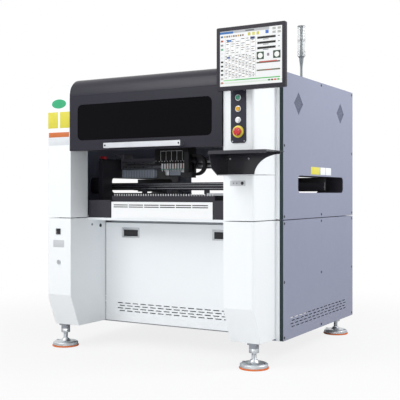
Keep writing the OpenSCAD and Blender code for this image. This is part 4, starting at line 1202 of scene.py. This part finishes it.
@dataclass
class Display:
    """Monitor with a lit picture of plain tables, bars and icons."""

    bezel: float = 17.0
    chin: float = 3.0
    sunk: float = 1.8
    tools: tuple[str, ...] = ("#c9a14a", "#555a60", "#8d6a4a")
    tabs: tuple[str, ...] = ("#c9c24a", "#d9d24e", "#cfc548")
    icons: tuple[str, ...] = (
        "#3f6f9f", "#b04a3c", "#8a8d90", "#5fae84", "#e5e8ea", "#e5e8ea", "#202428", "#303438", "#1f2a28",
        "#4a4e52", "#b8b4b0", "#c05a50",
    )
    cell_tones: tuple[str, ...] = ("#6a7078", "#8f7f6c", "#565c66")
    keys: tuple[str, ...] = ("#2f7f3a", "#6a4a2a", "#d8402c", "#3fb84c")
    dials: tuple[float, ...] = (0.60, 0.86)
    slots: int = 14
    slot_pitch: float = 13.0

    def build(self) -> None:
        """Dresses the case and the arm and adds the picture and the vents."""
        dress({"monitor": Look.MONITOR, "monitor_arm": Look.BLACK})
        self.picture()
        self.vents()

    def picture(self) -> None:
        """Lit picture of tiles, with two pale dials."""
        case = Reach.of("monitor")
        x0, x1 = case.x0 + self.bezel + 0.5, case.x1 - self.bezel - 0.5
        z0, z1 = case.z0 + self.bezel + self.chin + 0.5, case.z1 - self.bezel - 0.5
        wide, high, y = x1 - x0, z1 - z0, case.y0 + self.sunk
        shape = Shape()
        for part in (self.heading, self.margin, self.tables, self.fields, self.bars):
            for tile in part():
                x = (x0 + tile.u0 * wide, x0 + tile.u1 * wide)
                z = (z1 - tile.v1 * high, z1 - tile.v0 * high)
                shape.tile(x, z, y, tile.colour, tile.lift)
        for u in self.dials:
            shape.disc((x0 + (u + 0.0575) * wide, y, z1 - 0.4975 * high), 12.5, "#f4f6f4", 0.5)
        shape.finish("screen_picture", "monitor", "monitor", [Look.SCREEN])

    def heading(self) -> Iterator[Tile]:
        """Pale ground, title bar and the rows of tools and tabs.

        Yields:
            Their tiles.
        """
        yield Tile(0, 0, 1, 1, "#f2f4f5", 0.2)
        yield Tile(0.0, 0.0, 0.80, 0.05, "#b9bcbf")
        yield Tile(0.42, 0.012, 0.56, 0.038, "#6b6f74", 0.4)
        yield Tile(0.0, 0.015, 0.22, 0.055, "#2f6fb4", 0.4)
        for i in range(9):
            u = i * 0.037
            yield Tile(0.07 + u, 0.085 + 0.002 * (i % 2), 0.095 + u, 0.118, self.tools[i % len(self.tools)])
        for i, colour in enumerate(self.tabs):
            yield Tile(0.46 + i * 0.07, 0.065, 0.50 + i * 0.07, 0.12, colour)
        yield Tile(0.74, 0.055, 0.79, 0.115, "#3f6fc4")
        for i in range(2):
            for j in range(2):
                u, v = i * 0.08, j * 0.065
                yield Tile(0.85 + u, 0.02 + v, 0.90 + u, 0.06 + v, "#b4b6b2")

    def margin(self) -> Iterator[Tile]:
        """Icons down the left margin."""
        for i, colour in enumerate(self.icons):
            yield Tile(0.015, 0.085 + i * 0.076, 0.055, 0.118 + i * 0.076, colour)

    def tables(self) -> Iterator[Tile]:
        """Two tables with a chosen cell or two.

        Yields:
            Their tiles.
        """
        yield from self.table((0.09, 0.145, 0.58, 0.42), 6, 7)
        yield from self.table((0.08, 0.44, 0.58, 0.86), 9, 15)
        yield Tile(0.115, 0.165, 0.19, 0.20, "#3f78b8", 0.5)
        yield Tile(0.50, 0.145, 0.57, 0.19, "#40507c", 0.5)
        yield Tile(0.115, 0.47, 0.165, 0.50, "#3c64a8", 0.5)

    def table(self, area: tuple[float, float, float, float], columns: int, rows: int) -> Iterator[Tile]:
        """Pale table with ruled columns and grey bars for its cells.

        Args:
            area: its left, top, right and bottom.
            columns: number of its columns.
            rows: number of its rows.

        Yields:
            Its tiles.
        """
        u0, v0, u1, v1 = area
        yield Tile(u0, v0, u1, v1, "#fafbfb")
        for i in range(columns + 1):
            u = u0 + (u1 - u0) * i / columns
            yield Tile(u - 0.002, v0, u + 0.002, v1, "#a7abb0", 0.4)
        for j in range(rows):
            v = v0 + (v1 - v0) * (j + 0.5) / rows
            for i in range(columns):
                if (i * 7 + j * 3) % 5 == 4:
                    continue
                u = u0 + (u1 - u0) * (i + 0.2) / columns
                tone = "#33373e" if j == 0 else self.cell_tones[(i + j) % len(self.cell_tones)]
                wide = (u1 - u0) * (0.45 + 0.2 * ((i + j) % 2)) / columns
                yield Tile(u, v - 0.006, u + wide, v + 0.006, tone, 0.5)

    def fields(self) -> Iterator[Tile]:
        """Dark fields with their labels, and the squares behind the dials.

        Yields:
            Their tiles.
        """
        for i in range(3):
            v = i * 0.092
            yield Tile(0.61, 0.16 + v, 0.90, 0.20 + v, "#050607")
            yield Tile(0.935, 0.17 + v, 0.965, 0.185 + v, "#777b80")
            yield Tile(0.70, 0.206 + v, 0.79, 0.222 + v, "#9aa0a4")
        for u in self.dials:
            yield Tile(u, 0.43, u + 0.115, 0.565, "#24442f")
        yield Tile(0.765, 0.465, 0.80, 0.515, "#8c7f90")

    def bars(self) -> Iterator[Tile]:
        """Rulers at the right, and the green bar, the foot line and its keys.

        Yields:
            Their tiles.
        """
        yield Tile(0.60, 0.61, 0.97, 0.634, "#4b4a38")
        yield Tile(0.64, 0.598, 0.92, 0.62, "#c0645c", 0.4)
        yield Tile(0.60, 0.745, 0.97, 0.77, "#6a6a52")
        yield Tile(0.74, 0.75, 0.84, 0.762, "#b55b48", 0.4)
        yield Tile(0.06, 0.885, 0.97, 0.905, "#9fdc9c")
        yield Tile(0.24, 0.888, 0.97, 0.902, "#45b356", 0.4)
        yield Tile(0.0, 0.93, 1.0, 0.955, "#dfe9dd")
        for i, colour in enumerate(self.keys):
            yield Tile(0.78 + i * 0.048, 0.925, 0.815 + i * 0.048, 0.95, colour, 0.5)

    def vents(self) -> None:
        """Vent slots in the monitor's back."""
        case = Reach.of("monitor")
        y = (case.y1 - 4.3, case.y1 - 3.5)
        shape = Shape()
        for i in range(self.slots):
            x = case.x0 + 95 + i * self.slot_pitch
            shape.plate((x, x + 5), y, (case.z1 - 70, case.z1 - 46), 0.2)
        shape.finish("monitor_vents", "monitor", "monitor", [Look.BLACK])


@dataclass
class OperatorShelf:
    """Keyboard tray, its screws and the pull-out mouse shelf."""

    screws: Fasteners
    screw_r: float = 5.0

    def build(self) -> None:
        """Dresses both and adds the tray's screws and a pale strip of painted highlight on its top front
        edge.
        """
        dress({"keyboard_tray": Look.TRAY, "mouse_shelf": Look.SHELF})
        tray = Reach.of("keyboard_tray")
        fixings = Shape()
        for x in (tray.x0 + 12, tray.x0 + 112):
            self.screws.place(fixings, (x, tray.y1 - 3, tray.z1 - 31), (0, -1, 0), self.screw_r)
        fixings.finish("tray_screws", "cabinet", "tray", [Look.ZINC])
        # Pale strip on the tray's top front edge: a painted highlight.
        edge = Shape()
        edge.plate((tray.x0 + 1, tray.x1 - 1), (tray.y0, tray.y0 + 1.5), (tray.z1 - 0.2, tray.z1), 0.1)
        edge.finish("tray_painted_highlight", "cabinet", "tray", [Look.SHELF])


@dataclass
class TowerLight:
    """Signal light on its pole, with clear ribbed tiers."""

    rib: float = 1.2
    core_r: float = 5.5

    def build(self) -> None:
        """Replaces the plain lens and pole."""
        self.tube()
        self.neck()

    def tube(self) -> None:
        """Ribbed clear tube with its core and its cap."""
        lens = Reach.of("tower_light_lens")
        x, y, _ = lens.middle
        foot = (x, y, lens.z0)
        r, top = lens.width / 2, lens.height
        ribs = [(0, 0.2), (r - 3, 0.2), (r - 0.8, 1.0), (r, 3.0)]
        for low in (8, 16, 24, top / 2 - 3, top / 2 + 5):
            ribs += [(r, low), (r - self.rib, low + 1.5), (r, low + 3)]
        ribs += [(r, top - 9), (r - self.rib, top - 8), (r - self.rib, top - 6), (0, top - 6)]
        core = [
            (0, 0.6), (self.core_r, 0.6), (self.core_r, top - 10), (9, top - 8), (9, top - 6.6),
            (0, top - 6.6),
        ]
        cap = [(0, top - 5.8), (r - 1, top - 5.8), (r, top - 5), (r, top - 2), (r - 1.6, top), (0, top)]
        shape = Shape()
        shape.turned(ribs, foot, sides=48, look=0)
        shape.turned(core, foot, sides=24, look=1)
        shape.turned(cap, foot, sides=48, look=1)
        shape.finish("tower_light_tube", "cabinet", "lens", [Look.CLEAR, Look.POLE], ("tower_light_lens",))

    def neck(self) -> None:
        """Foot, pole and the neck that widens under the tube."""
        pole = Reach.of("tower_light_pole")
        x, y, _ = Reach.of("tower_light_lens").middle
        top = pole.height
        outline = [
            (0, 0), (22, 0), (23, 1), (23, 4), (21.5, 5.4), (9, 6), (7, 8), (6.6, top - 62), (8.5, top - 44),
            (11.5, top - 22), (12.4, top - 8), (17, top - 4), (17.4, top - 0.6), (16.8, top), (0, top),
        ]
        shape = Shape()
        shape.turned(outline, (x, y, pole.z0), sides=40)
        shape.finish("tower_light_neck", "cabinet", "lens", [Look.POLE], ("tower_light_pole",))


@dataclass
class FeederBay:
    """Feeder bank behind its cover, on the feeder table."""

    pitch: float = 16.0
    count: int = 40
    pin: Outline = ((0, 11), (2.2, 11), (3.1, 9.8), (3.2, 1.2), (3.2, -0.2))

    def build(self) -> None:
        """Dresses the bay and adds the feeders' pins and guides, a black plate of painted shade behind the
        cover's face, and the cover's fold.
        """
        dress({"feeder_table": Look.TABLE, "feeder_cover": Look.PANEL_WHITE, "feeder_bank": Look.INNER_DARK})
        cover = Reach.of("feeder_cover")
        self.pins(cover)
        # Black plate just behind the cover's face: painted shade inside the cover.
        shade = Shape()
        y, z = (cover.y0 + 2.4, cover.y0 + 3.6), (cover.z0 + 24, cover.z1 - 8)
        shade.plate((cover.x0 + 10, cover.x1 - 10), y, z, 0.3)
        shade.finish("cover_painted_shade", "cabinet", "rail_black", [Look.BLACK])
        fold = Shape()
        y, z = (cover.y0 - 0.8, cover.y0), (cover.z0 + 5, cover.z0 + 6.6)
        fold.plate((cover.x0 + 4, cover.x1 - 4), y, z, 0.3)
        fold.finish("cover_fold", "cabinet", "white_paint", [Look.PANEL_WHITE])

    def pins(self, cover: Reach) -> None:
        """White pin and dark tape guide of each feeder.

        Args:
            cover: reach of the cover in front of them.
        """
        top = Reach.of("feeder_bank").z1
        start = -(self.count - 1) * self.pitch / 2
        guide_y = (cover.y1 + 26, cover.y1 + 120)
        shape = Shape()
        for i in range(self.count):
            x = start + i * self.pitch
            shape.turned(self.pin, (x, cover.y1 + 12, top - 10), sides=12)
            shape.plate((x - 2.6, x + 2.6), guide_y, (top - 10.2, top - 8.6), 0.3, look=1)
        shape.finish("feeder_pins", "cabinet", "rail_black", [Look.WHITE_PLASTIC, Look.BLACK_STEEL])


@dataclass
class BoardConveyor:
    """Fixed and movable conveyor rails with their grooves, screws and end covers."""

    screws: Fasteners
    drive_side: float = 18.0
    grooves: tuple[float, ...] = (886, 900, 912)
    groove_t: float = 0.8
    screw_z: float = 893.0
    screw_count: int = 22
    screw_pitch: float = 60.0
    guard_z: Span = (870, 950)
    guard_from: float = 400.0

    def build(self) -> None:
        """Dresses the rails and adds grooves, screws and end covers."""
        dress({
            "conveyor_fixed_rail": Look.RAIL_BLACK, "conveyor_movable_rail": Look.RAIL_BLACK,
            "up_camera": Look.BLACK, "nozzle_station": Look.MACHINED,
        })
        fixed, movable = Reach.of("conveyor_fixed_rail"), Reach.of("conveyor_movable_rail")
        y = fixed.y0
        self.rail_face("fixed", "cabinet", fixed, (0, -1, 0), y, (y - self.groove_t, y))
        y = movable.y1 - self.drive_side
        self.rail_face("movable", "width_rail", movable, (0, 1, 0), y, (y, y + self.groove_t))
        self.end_guards(movable)

    def rail_face(self, name: str, body: str, rail: Reach, axis: Point, y: float, span: Span) -> None:
        """Grooves and screws on the face of a rail.

        Args:
            name: first word of the piece's name.
            body: the body that carries it.
            rail: the rail's reach.
            axis: direction that the face looks.
            y: place of the face.
            span: the grooves' span along Y.
        """
        shape = Shape()
        for z in self.grooves:
            shape.plate((rail.x0 + 4, rail.x1 - 4), span, (z, z + 2.4), 0.3, look=0)
        for i in range(self.screw_count):
            x = rail.x0 + 30 + i * self.screw_pitch
            self.screws.place(shape, (x, y, self.screw_z), axis, 4.0, look=1)
        shape.finish(f"{name}_rail_grooves", body, "rail_black", [Look.ZINC, Look.BLACK_STEEL])

    def end_guards(self, rail: Reach) -> None:
        """Black covers behind both ends of the movable rail, where it runs into the tunnels.

        Args:
            rail: the movable rail's reach.
        """
        shape = Shape()
        for side in Side:
            x = side.span(self.guard_from, rail.x1 - 6)
            shape.plate(x, (rail.y1 + 0.4, rail.y1 + 2.4), self.guard_z, 0.5)
        shape.finish("rail_end_guards", "width_rail", "rail_black", [Look.BLACK])


@dataclass
class Gantry:
    """Moving beam with its guide rails, belt, sliders and cable duct."""

    screws: Fasteners
    underside: float = 1003.0
    set_back: float = 10.0
    slider_w: float = 40.0
    ribs: int = 9
    rail_h: float = 12.0
    rail_screws: int = 16
    duct_end: float = -272.0
    clips: int = 12
    stop_x: Span = (522, 556)

    def build(self) -> None:
        """Dresses the frames and the bed and replaces the beam."""
        dress({"side_frames": Look.INNER_DARK, "machine_bed": Look.CAST, "base_frame": Look.TUBE_GREY})
        reach = Reach.of("gantry_beam")
        front, end = reach.y0 + self.set_back, reach.x1 - self.slider_w - 5
        self.beam(reach, front, end)
        self.duct(reach, front, end)
        self.stops()

    def beam(self, reach: Reach, front: float, end: float) -> None:
        """Ribbed beam with its two rails, its belt and the sliders at its ends.

        Args:
            reach: the plain beam's reach.
            front: place of the beam's front face.
            end: half of the beam's length.
        """
        back, low, top = reach.y1, self.underside, reach.z1 - 30
        shape = Shape()
        shape.plate((-end, end), (front, back), (low, top), 2.0, look=0)
        for i in range(self.ribs):
            x = -end + 60 + i * (2 * end - 120) / (self.ribs - 1)
            shape.plate((x - 3, x + 3), (front + 6, back - 6), (low - 2.5, low + 1), 0.6, look=0)
        for z in (low + 6, top - 32):
            shape.plate((-end + 25, end - 25), (front - 10, front), (z, z + self.rail_h), 0.8, look=1)
            for i in range(self.rail_screws):
                x = -end + 45 + i * (2 * end - 90) / (self.rail_screws - 1)
                self.screws.place(shape, (x, front - 10, z + self.rail_h / 2), (0, -1, 0), 3.2, look=2)
        shape.plate((-end + 30, end - 30), (front - 5, front - 3.4), (low + 24, low + 30), 0.3, look=3)
        mid = (front + back) / 2
        for side in Side:
            flange, bridge = side.span(end - 20, end), side.span(end - 4, reach.x1)
            slider = side.span(reach.x1 - self.slider_w, reach.x1)
            shape.plate(flange, (front, back), (top - 2, reach.z1), 1.0, look=0)
            shape.plate(bridge, (front, back), (reach.z1 - 12, reach.z1), 1.5, look=0)
            shape.plate(slider, (mid - 40, mid + 40), (reach.z1 - 29, reach.z1 - 12), 2.0, look=1)
        looks = [Look.BEAM, Look.MACHINED, Look.BLACK_STEEL, Look.BLACK_RUBBER]
        shape.finish("gantry_beam_machined", "gantry", "machine_metal", looks, ("gantry_beam",))

    def duct(self, reach: Reach, front: float, end: float) -> None:
        """Cable duct with its clips under the left half of the beam.

        Args:
            reach: the plain beam's reach.
            front: place of the beam's front face.
            end: half of the beam's length.
        """
        low, top = reach.z0, self.underside
        x = (-end + 2, self.duct_end)
        shape = Shape()
        shape.plate(x, (front + 4, front + 40), (low + 4, top - 1), 9.0, steps=4, look=0)
        for i in range(self.clips):
            clip = -end + 16 + i * (end - 300) / (self.clips - 1)
            shape.plate((clip, clip + 2.2), (front + 3.2, front + 12), (low + 8, top - 8), 0.5, look=1)
        shape.finish("cable_duct", "gantry", "machine_metal", [Look.DUCT, Look.BEAM])

    def stops(self) -> None:
        """Red end stops of the gantry's rails on the side frames."""
        frames = Reach.of("side_frames")
        shape = Shape()
        for side in Side:
            y, z = (frames.y0 + 20, frames.y0 + 44), (frames.z1 - 4, frames.z1 + 14)
            shape.plate(side.span(*self.stop_x), y, z, 3.0, steps=3)
        shape.finish("rail_stops", "cabinet", "estop", [Look.RED_PLASTIC])


@dataclass
class PlacementHead:
    """Ten spindles in a black housing, with its camera and cable chain."""

    screws: Fasteners
    count: int = 10
    tip: Outline = ((0, 0), (1.1, 0), (1.5, 1), (2.2, 7), (3.9, 8.6), (4.0, 13))
    plate: Outline = ((4.0, 13), (6.5, 13), (7.0, 13.5), (7.0, 16.5), (6.5, 17), (4.6, 17))
    barrel: Outline = (
        (4.6, 17), (4.9, 19.8), (5.0, 26), (4.6, 26.4), (4.6, 27.4), (5.0, 27.8), (5.0, 36), (4.6, 36.4),
        (4.6, 37.4), (5.0, 37.8), (5.0, 46), (4, 48),
    )
    mount_y: Span = (-161.6, -159.6)
    rods: int = 5
    rod_pitch: float = 36.0
    rod_z: Span = (1043.0, 1099.0)

    def build(self) -> None:
        """Dresses the head, replaces its spindles and adds the mount's plates and the front's rods."""
        dress({"head_housing": Look.HEAD_BLACK, "head_camera": Look.BLACK, "cable_chain": Look.BLACK})
        for number in range(1, self.count + 1):
            self.spindle(number)
        self.carrier()
        self.face()

    def spindle(self, number: int) -> None:
        """Spindle with a steel tip, a green disc and a grooved white barrel.

        Args:
            number: its number along the head, from 1.
        """
        node = f"nozzle_{number}"
        reach = Reach.of(node)
        x, y, _ = reach.middle
        foot, top = (x, y, reach.z0), reach.height
        shape = Shape()
        shape.turned(self.tip, foot, sides=20, look=0)
        shape.turned(self.plate, foot, sides=20, look=1)
        shape.turned((*self.barrel, (4, top - 1), (3, top), (0, top)), foot, sides=20, look=2)
        looks = [Look.MACHINED, Look.GREEN_PLASTIC, Look.WHITE_PLASTIC]
        shape.finish(f"spindle_{number}", node, "nozzle", looks, (node,))

    def carrier(self) -> None:
        """Red-brown reflector behind the spindles and the pale plates of the mount."""
        head, first, last = Reach.of("head_housing"), Reach.of("nozzle_1"), Reach.of(f"nozzle_{self.count}")
        shape = Shape()
        shape.plate((first.x0 - 4, last.x1 + 4), (first.y1 + 3, first.y1 + 5), (1000, 1032), 0.6, look=0)
        for near, far, look in ((12, 40, 1), (44, 118, 2), (122, 150, 1)):
            shape.plate((head.x0 + near, head.x0 + far), self.mount_y, (head.z0 + 5, 1029), 0.8, look=look)
        shape.finish("head_carrier", "head", "head_cover", [Look.BROWN, Look.BRIGHT, Look.DUCT])

    def face(self) -> None:
        """White rods under a bar, with a row of connectors and four screws, on the front of the housing."""
        head = Reach.of("head_housing")
        start, (low, high) = head.x0 + 41, self.rod_z
        stop = start + (self.rods - 1) * self.rod_pitch
        y = head.y0 - 1.2
        shape = Shape()
        for i in range(self.rods):
            x = start + i * self.rod_pitch
            shape.rod((x, y, low), (x, y, high), 0.8, sides=10, look=0)
        shape.rod((start, y, high), (stop, y, high), 0.8, sides=10, look=0)
        for i in range(2 * self.rods):
            x = start + i * self.rod_pitch / 2 - self.rod_pitch / 4
            shape.rod((x, head.y0 + 0.5, low - 2), (x, head.y0 - 3.0, low - 2), 2.2, sides=14, look=0)
        for x in (head.x0 + 8, head.x1 - 8):
            for z in (low, head.z1 - 10):
                self.screws.place(shape, (x, head.y0, z), (0, -1, 0), 3.5, look=1)
        shape.finish("head_face", "head", "head_cover", [Look.WHITE_PLASTIC, Look.ZINC])


@dataclass
class FrontDoor:
    """Drop-down door with two paddle latches, and the switches and fittings beside it."""

    rocker_hole: tuple[float, float] = (12.5, 12.6)
    rocker_rim: tuple[float, float] = (15.5, 16.0)
    fittings: tuple[tuple[float, float, float, int], ...] = ((192, 683, 6.5, 0), (270, 675, 10.0, 1))

    def build(self) -> None:
        """Dresses the door, latches and switches and adds the frames and fittings."""
        dress({
            "front_door": Look.WHITE, "latch_left": Look.BLACK, "latch_right": Look.BLACK,
            "power_rocker": Look.BLACK, "key_lock": Look.ZINC,
        })
        self.rocker_frame()
        self.latch_frames()
        self.inner_fittings()

    def rocker_frame(self) -> None:
        """Black frame round the power rocker."""
        rocker = Reach.of("power_rocker")
        x, _, z = rocker.middle
        hole, rim = (
            ((x - half_x, x + half_x), (z - half_z, z + half_z))
            for half_x, half_z in (self.rocker_hole, self.rocker_rim)
        )
        lap = self.rocker_rim[0] - self.rocker_hole[0]
        shape = Shape()
        shape.frame(hole, rim, (rocker.y0 - 0.9, rocker.y0 + 1.5), lap, 0.5)
        shape.finish("rocker_frame", "cabinet", "black_plastic", [Look.BLACK])

    @staticmethod
    def latch_frames() -> None:
        """Light frames around the paddles."""
        for side in Side:
            latch = Reach.of(f"latch_{side.word}")
            x0, x1, z0, z1 = latch.x0 - 1, latch.x1 + 1, latch.z0 - 1, latch.z1 + 1
            rim = ((x0 - 8, x1 + 8), (z0 - 7, z1 + 12))
            shape = Shape()
            shape.frame(((x0, x1), (z0, z1)), rim, (latch.y0 - 2.6, latch.y0), 0.4, 0.8)
            shape.finish(f"latch_frame_{side.word}", "door", "aluminium", [Look.ZINC])

    def inner_fittings(self) -> None:
        """Two round fittings on the inner face of the left column."""
        column = Reach.of("column_left_lower")
        shape = Shape()
        for back, z, r, look in self.fittings:
            outline = [(r, 0.0), (r, 2.4), (r - 1.0, 3.2), (r * 0.55, 3.2), (r * 0.5, 2.2), (0, 2.2)]
            shape.turned(outline, (column.x1 - 0.2, column.y0 + back, z), (1, 0, 0), look=look)
        shape.finish("column_fittings", "cabinet", "black_plastic", [Look.GREY_PLASTIC, Look.BLACK])


@dataclass
class LevellingFoot:
    """Bolt-down foot: rubber sole, cast pad, lock nut and threaded spindle."""

    node: str
    sole: Outline = ((0, 0.2), (66, 0.2), (68, 0), (72.5, 0), (74, 1.4), (74, 6.4), (73, 7.8), (70, 8))
    pad: Outline = (
        (0, 7.6), (69, 7.8), (70, 8.6), (70, 21), (69, 22.4), (61, 27.4), (59, 28), (31, 28), (29.5, 28.6),
        (18.6, 41), (17.6, 43), (12.5, 43),
    )
    thread_r: float = 12.4
    thread_depth: float = 1.2
    thread_pitch: float = 2.5
    thread_z: Span = (45.0, 75.0)
    nut_z: float = 86.7
    hole_ring: Outline = ((7.5, 28.0), (9.5, 28.0), (9.8, 28.4), (9.5, 28.8), (7.6, 28.8))
    hole_floor: Outline = ((0, 28.1), (7.6, 28.1))
    hole_x: float = 56.0

    def build(self) -> None:
        """Replaces the plain foot with a turned one with thread, nut and bolt holes."""
        reach = Reach.of(self.node)
        x, y, _ = reach.middle
        foot = (x, y, 0)
        shape = Shape()
        shape.turned(self.sole, foot, sides=64, look=1)
        shape.turned(self.pad, foot, sides=64, look=0)
        shape.turned(self.spindle(reach.z1), foot, sides=36, look=2)
        shape.nut((x, y, self.nut_z), 25.4, 22, 1.4, look=2)
        for side in Side:
            hole = (x + side.value * self.hole_x, y, 0)
            shape.turned(self.hole_ring, hole, look=2)
            shape.turned(self.hole_floor, hole, look=3)
        looks = [Look.FOOT, Look.ORANGE_RUBBER, Look.ZINC, Look.BLACK]
        shape.finish(f"{self.node}_turned", self.node, "foot", looks, (self.node,))

    def spindle(self, top: float) -> list[tuple[float, float]]:
        """Outline of the spindle, with its thread below the nut.

        Args:
            top: height of its end.

        Returns:
            Pairs of radius and height.
        """
        r, pitch = self.thread_r, self.thread_pitch
        outline = [(12.5, 43.0)]
        z, stop = self.thread_z
        while z < stop:
            outline += [(r, z), (r - self.thread_depth, z + pitch / 2), (r, z + pitch)]
            z += pitch
        return outline + [(r, top - 30), (r, top - 2), (11, top), (0, top)]


@dataclass
class RearServices:
    """Power and air inlets and the control unit under the bed."""

    def build(self) -> None:
        """Dresses the inlets and the control unit."""
        dress({"rear_inlets": Look.BLACK, "control_unit": Look.GREY_PLASTIC})


# ---- Studio ----


@dataclass(frozen=True)
class Lamp:
    """Square soft lamp aimed at a point, in metres and watts."""

    name: str
    place: Point
    aim: Point
    size: float
    power: float

    def build(self) -> None:
        """Makes the lamp."""
        data = bpy.data.lights.new(self.name, "AREA")
        data.size = self.size
        data.energy = self.power
        lamp = bpy.data.objects.new(self.name, data)
        lamp.location = self.place
        lamp.rotation_euler = (Vector(self.aim) - Vector(self.place)).to_track_quat("-Z", "Y").to_euler()
        bpy.context.scene.collection.objects.link(lamp)


@dataclass(frozen=True)
class Studio:
    """Pale floor, soft lamps and the camera."""

    eye: Point = (2.333, -4.084, 0.860)
    heading: float = 30.053
    lens: float = 72.05
    shift: float = -0.017
    world_strength: float = 0.5
    floor_half: float = 40.0
    floor_grey: float = 0.72
    floor_reach: Span = (900.0, 3000.0)
    floor_white: float = 0.82
    lamps: tuple[Lamp, ...] = (
        Lamp("key", (-2.0, -5.0, 3.6), (0.0, -0.4, 0.7), 2.4, 98),
        Lamp("front", (1.8, -5.4, 0.8), (0.0, -0.4, 0.5), 2.2, 52),
        Lamp("fill", (3.3, 0.7, 3.0), (0.68, 0.2, 1.3), 1.6, 90),
        Lamp("top", (-1.7, -3.1, 4.9), (-0.3, -0.6, 1.4), 2.2, 58),
    )

    def build(self) -> None:
        """Makes the camera, the world, the lamps and the floor."""
        scene = bpy.context.scene
        scene.view_settings.view_transform = "Standard"
        self.camera(scene)
        self.world(scene)
        for lamp in self.lamps:
            lamp.build()
        self.floor()

    def camera(self, scene: bpy.types.Scene) -> None:
        """Level camera with a long lens.

        Args:
            scene: the scene that gets it.
        """
        data = bpy.data.cameras.new("camera")
        data.lens = self.lens
        data.sensor_width = 36
        data.shift_y = self.shift
        camera = bpy.data.objects.new("camera", data)
        camera.location = self.eye
        camera.rotation_euler = (math.pi / 2, 0, math.radians(self.heading))
        scene.collection.objects.link(camera)
        scene.camera = camera

    def world(self, scene: bpy.types.Scene) -> None:
        """Even dim light, and white where the camera, gloss or glass sees it.

        Args:
            scene: the scene that gets it.
        """
        world = bpy.data.worlds.new("studio")
        scene.world = world
        world.use_nodes = True
        nodes, links = world.node_tree.nodes, world.node_tree.links
        even, white = nodes["Background"], nodes.new("ShaderNodeBackground")
        for light, strength in ((even, self.world_strength), (white, 1.0)):
            light.inputs["Color"].default_value = (1, 1, 1, 1)
            light.inputs["Strength"].default_value = strength
        path = nodes.new("ShaderNodeLightPath")
        seen = path.outputs["Is Camera Ray"]
        for name in ("Is Glossy Ray", "Is Transmission Ray"):
            either = nodes.new("ShaderNodeMath")
            either.operation = "MAXIMUM"
            links.new(seen, either.inputs[0])
            links.new(path.outputs[name], either.inputs[1])
            seen = either.outputs[0]
        mix = nodes.new("ShaderNodeMixShader")
        for source, entry in zip((seen, even.outputs[0], white.outputs[0]), mix.inputs):
            links.new(source, entry)
        links.new(mix.outputs[0], nodes["World Output"].inputs[0])

    def floor(self) -> None:
        """Wide pale floor that keeps the machine's shadow and fades to white for the camera."""
        mesh = bpy.data.meshes.new("floor")
        plane = bmesh.new()
        bmesh.ops.create_grid(plane, x_segments=1, y_segments=1, size=self.floor_half)
        plane.to_mesh(mesh)
        plane.free()
        floor = bpy.data.objects.new("floor", mesh)
        bpy.context.scene.collection.objects.link(floor)
        graph = Graph("pale_floor")
        graph.set(Base_Color=(*(self.floor_grey,) * 3, 1.0), Roughness=0.6, Specular_IOR_Level=0.2)
        path = graph.node("ShaderNodeLightPath")
        seen = Value(graph, path.outputs["Is Camera Ray"])
        reach = graph.math("SQRT", graph.axis(0) * graph.axis(0) + graph.axis(1) * graph.axis(1))
        share = seen * (reach.fade(*self.floor_reach) * (1 - self.floor_white) + self.floor_white)
        clear = graph.node("ShaderNodeEmission", None, {0: (1.0, 1.0, 1.0, 1.0)})
        sources = {0: share, 1: graph.shader.outputs[0], 2: clear.outputs[0]}
        mixed = graph.node("ShaderNodeMixShader", None, sources)
        graph.tree.links.new(mixed.outputs[0], graph.output.inputs[0])
        mesh.materials.append(graph.material)


def main() -> None:
    """Builds the visual model around the frame."""
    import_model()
    Studio().build()
    screws = Fasteners()
    parts = [
        SheetCovers(screws), LiftingHood(screws), ControlStrip(screws), Display(), OperatorShelf(screws),
        TowerLight(), FeederBay(), BoardConveyor(screws), Gantry(screws), PlacementHead(screws), FrontDoor(),
        RearServices(),
    ]
    parts += [LevellingFoot(f"foot_{end}_{side.word}") for end in ("front", "rear") for side in Side]
    for part in parts:
        LOG.info("building %s", type(part).__name__)
        part.build()


if __name__ == "__main__":
    logging.basicConfig(level=logging.INFO, format="%(message)s")
    main()
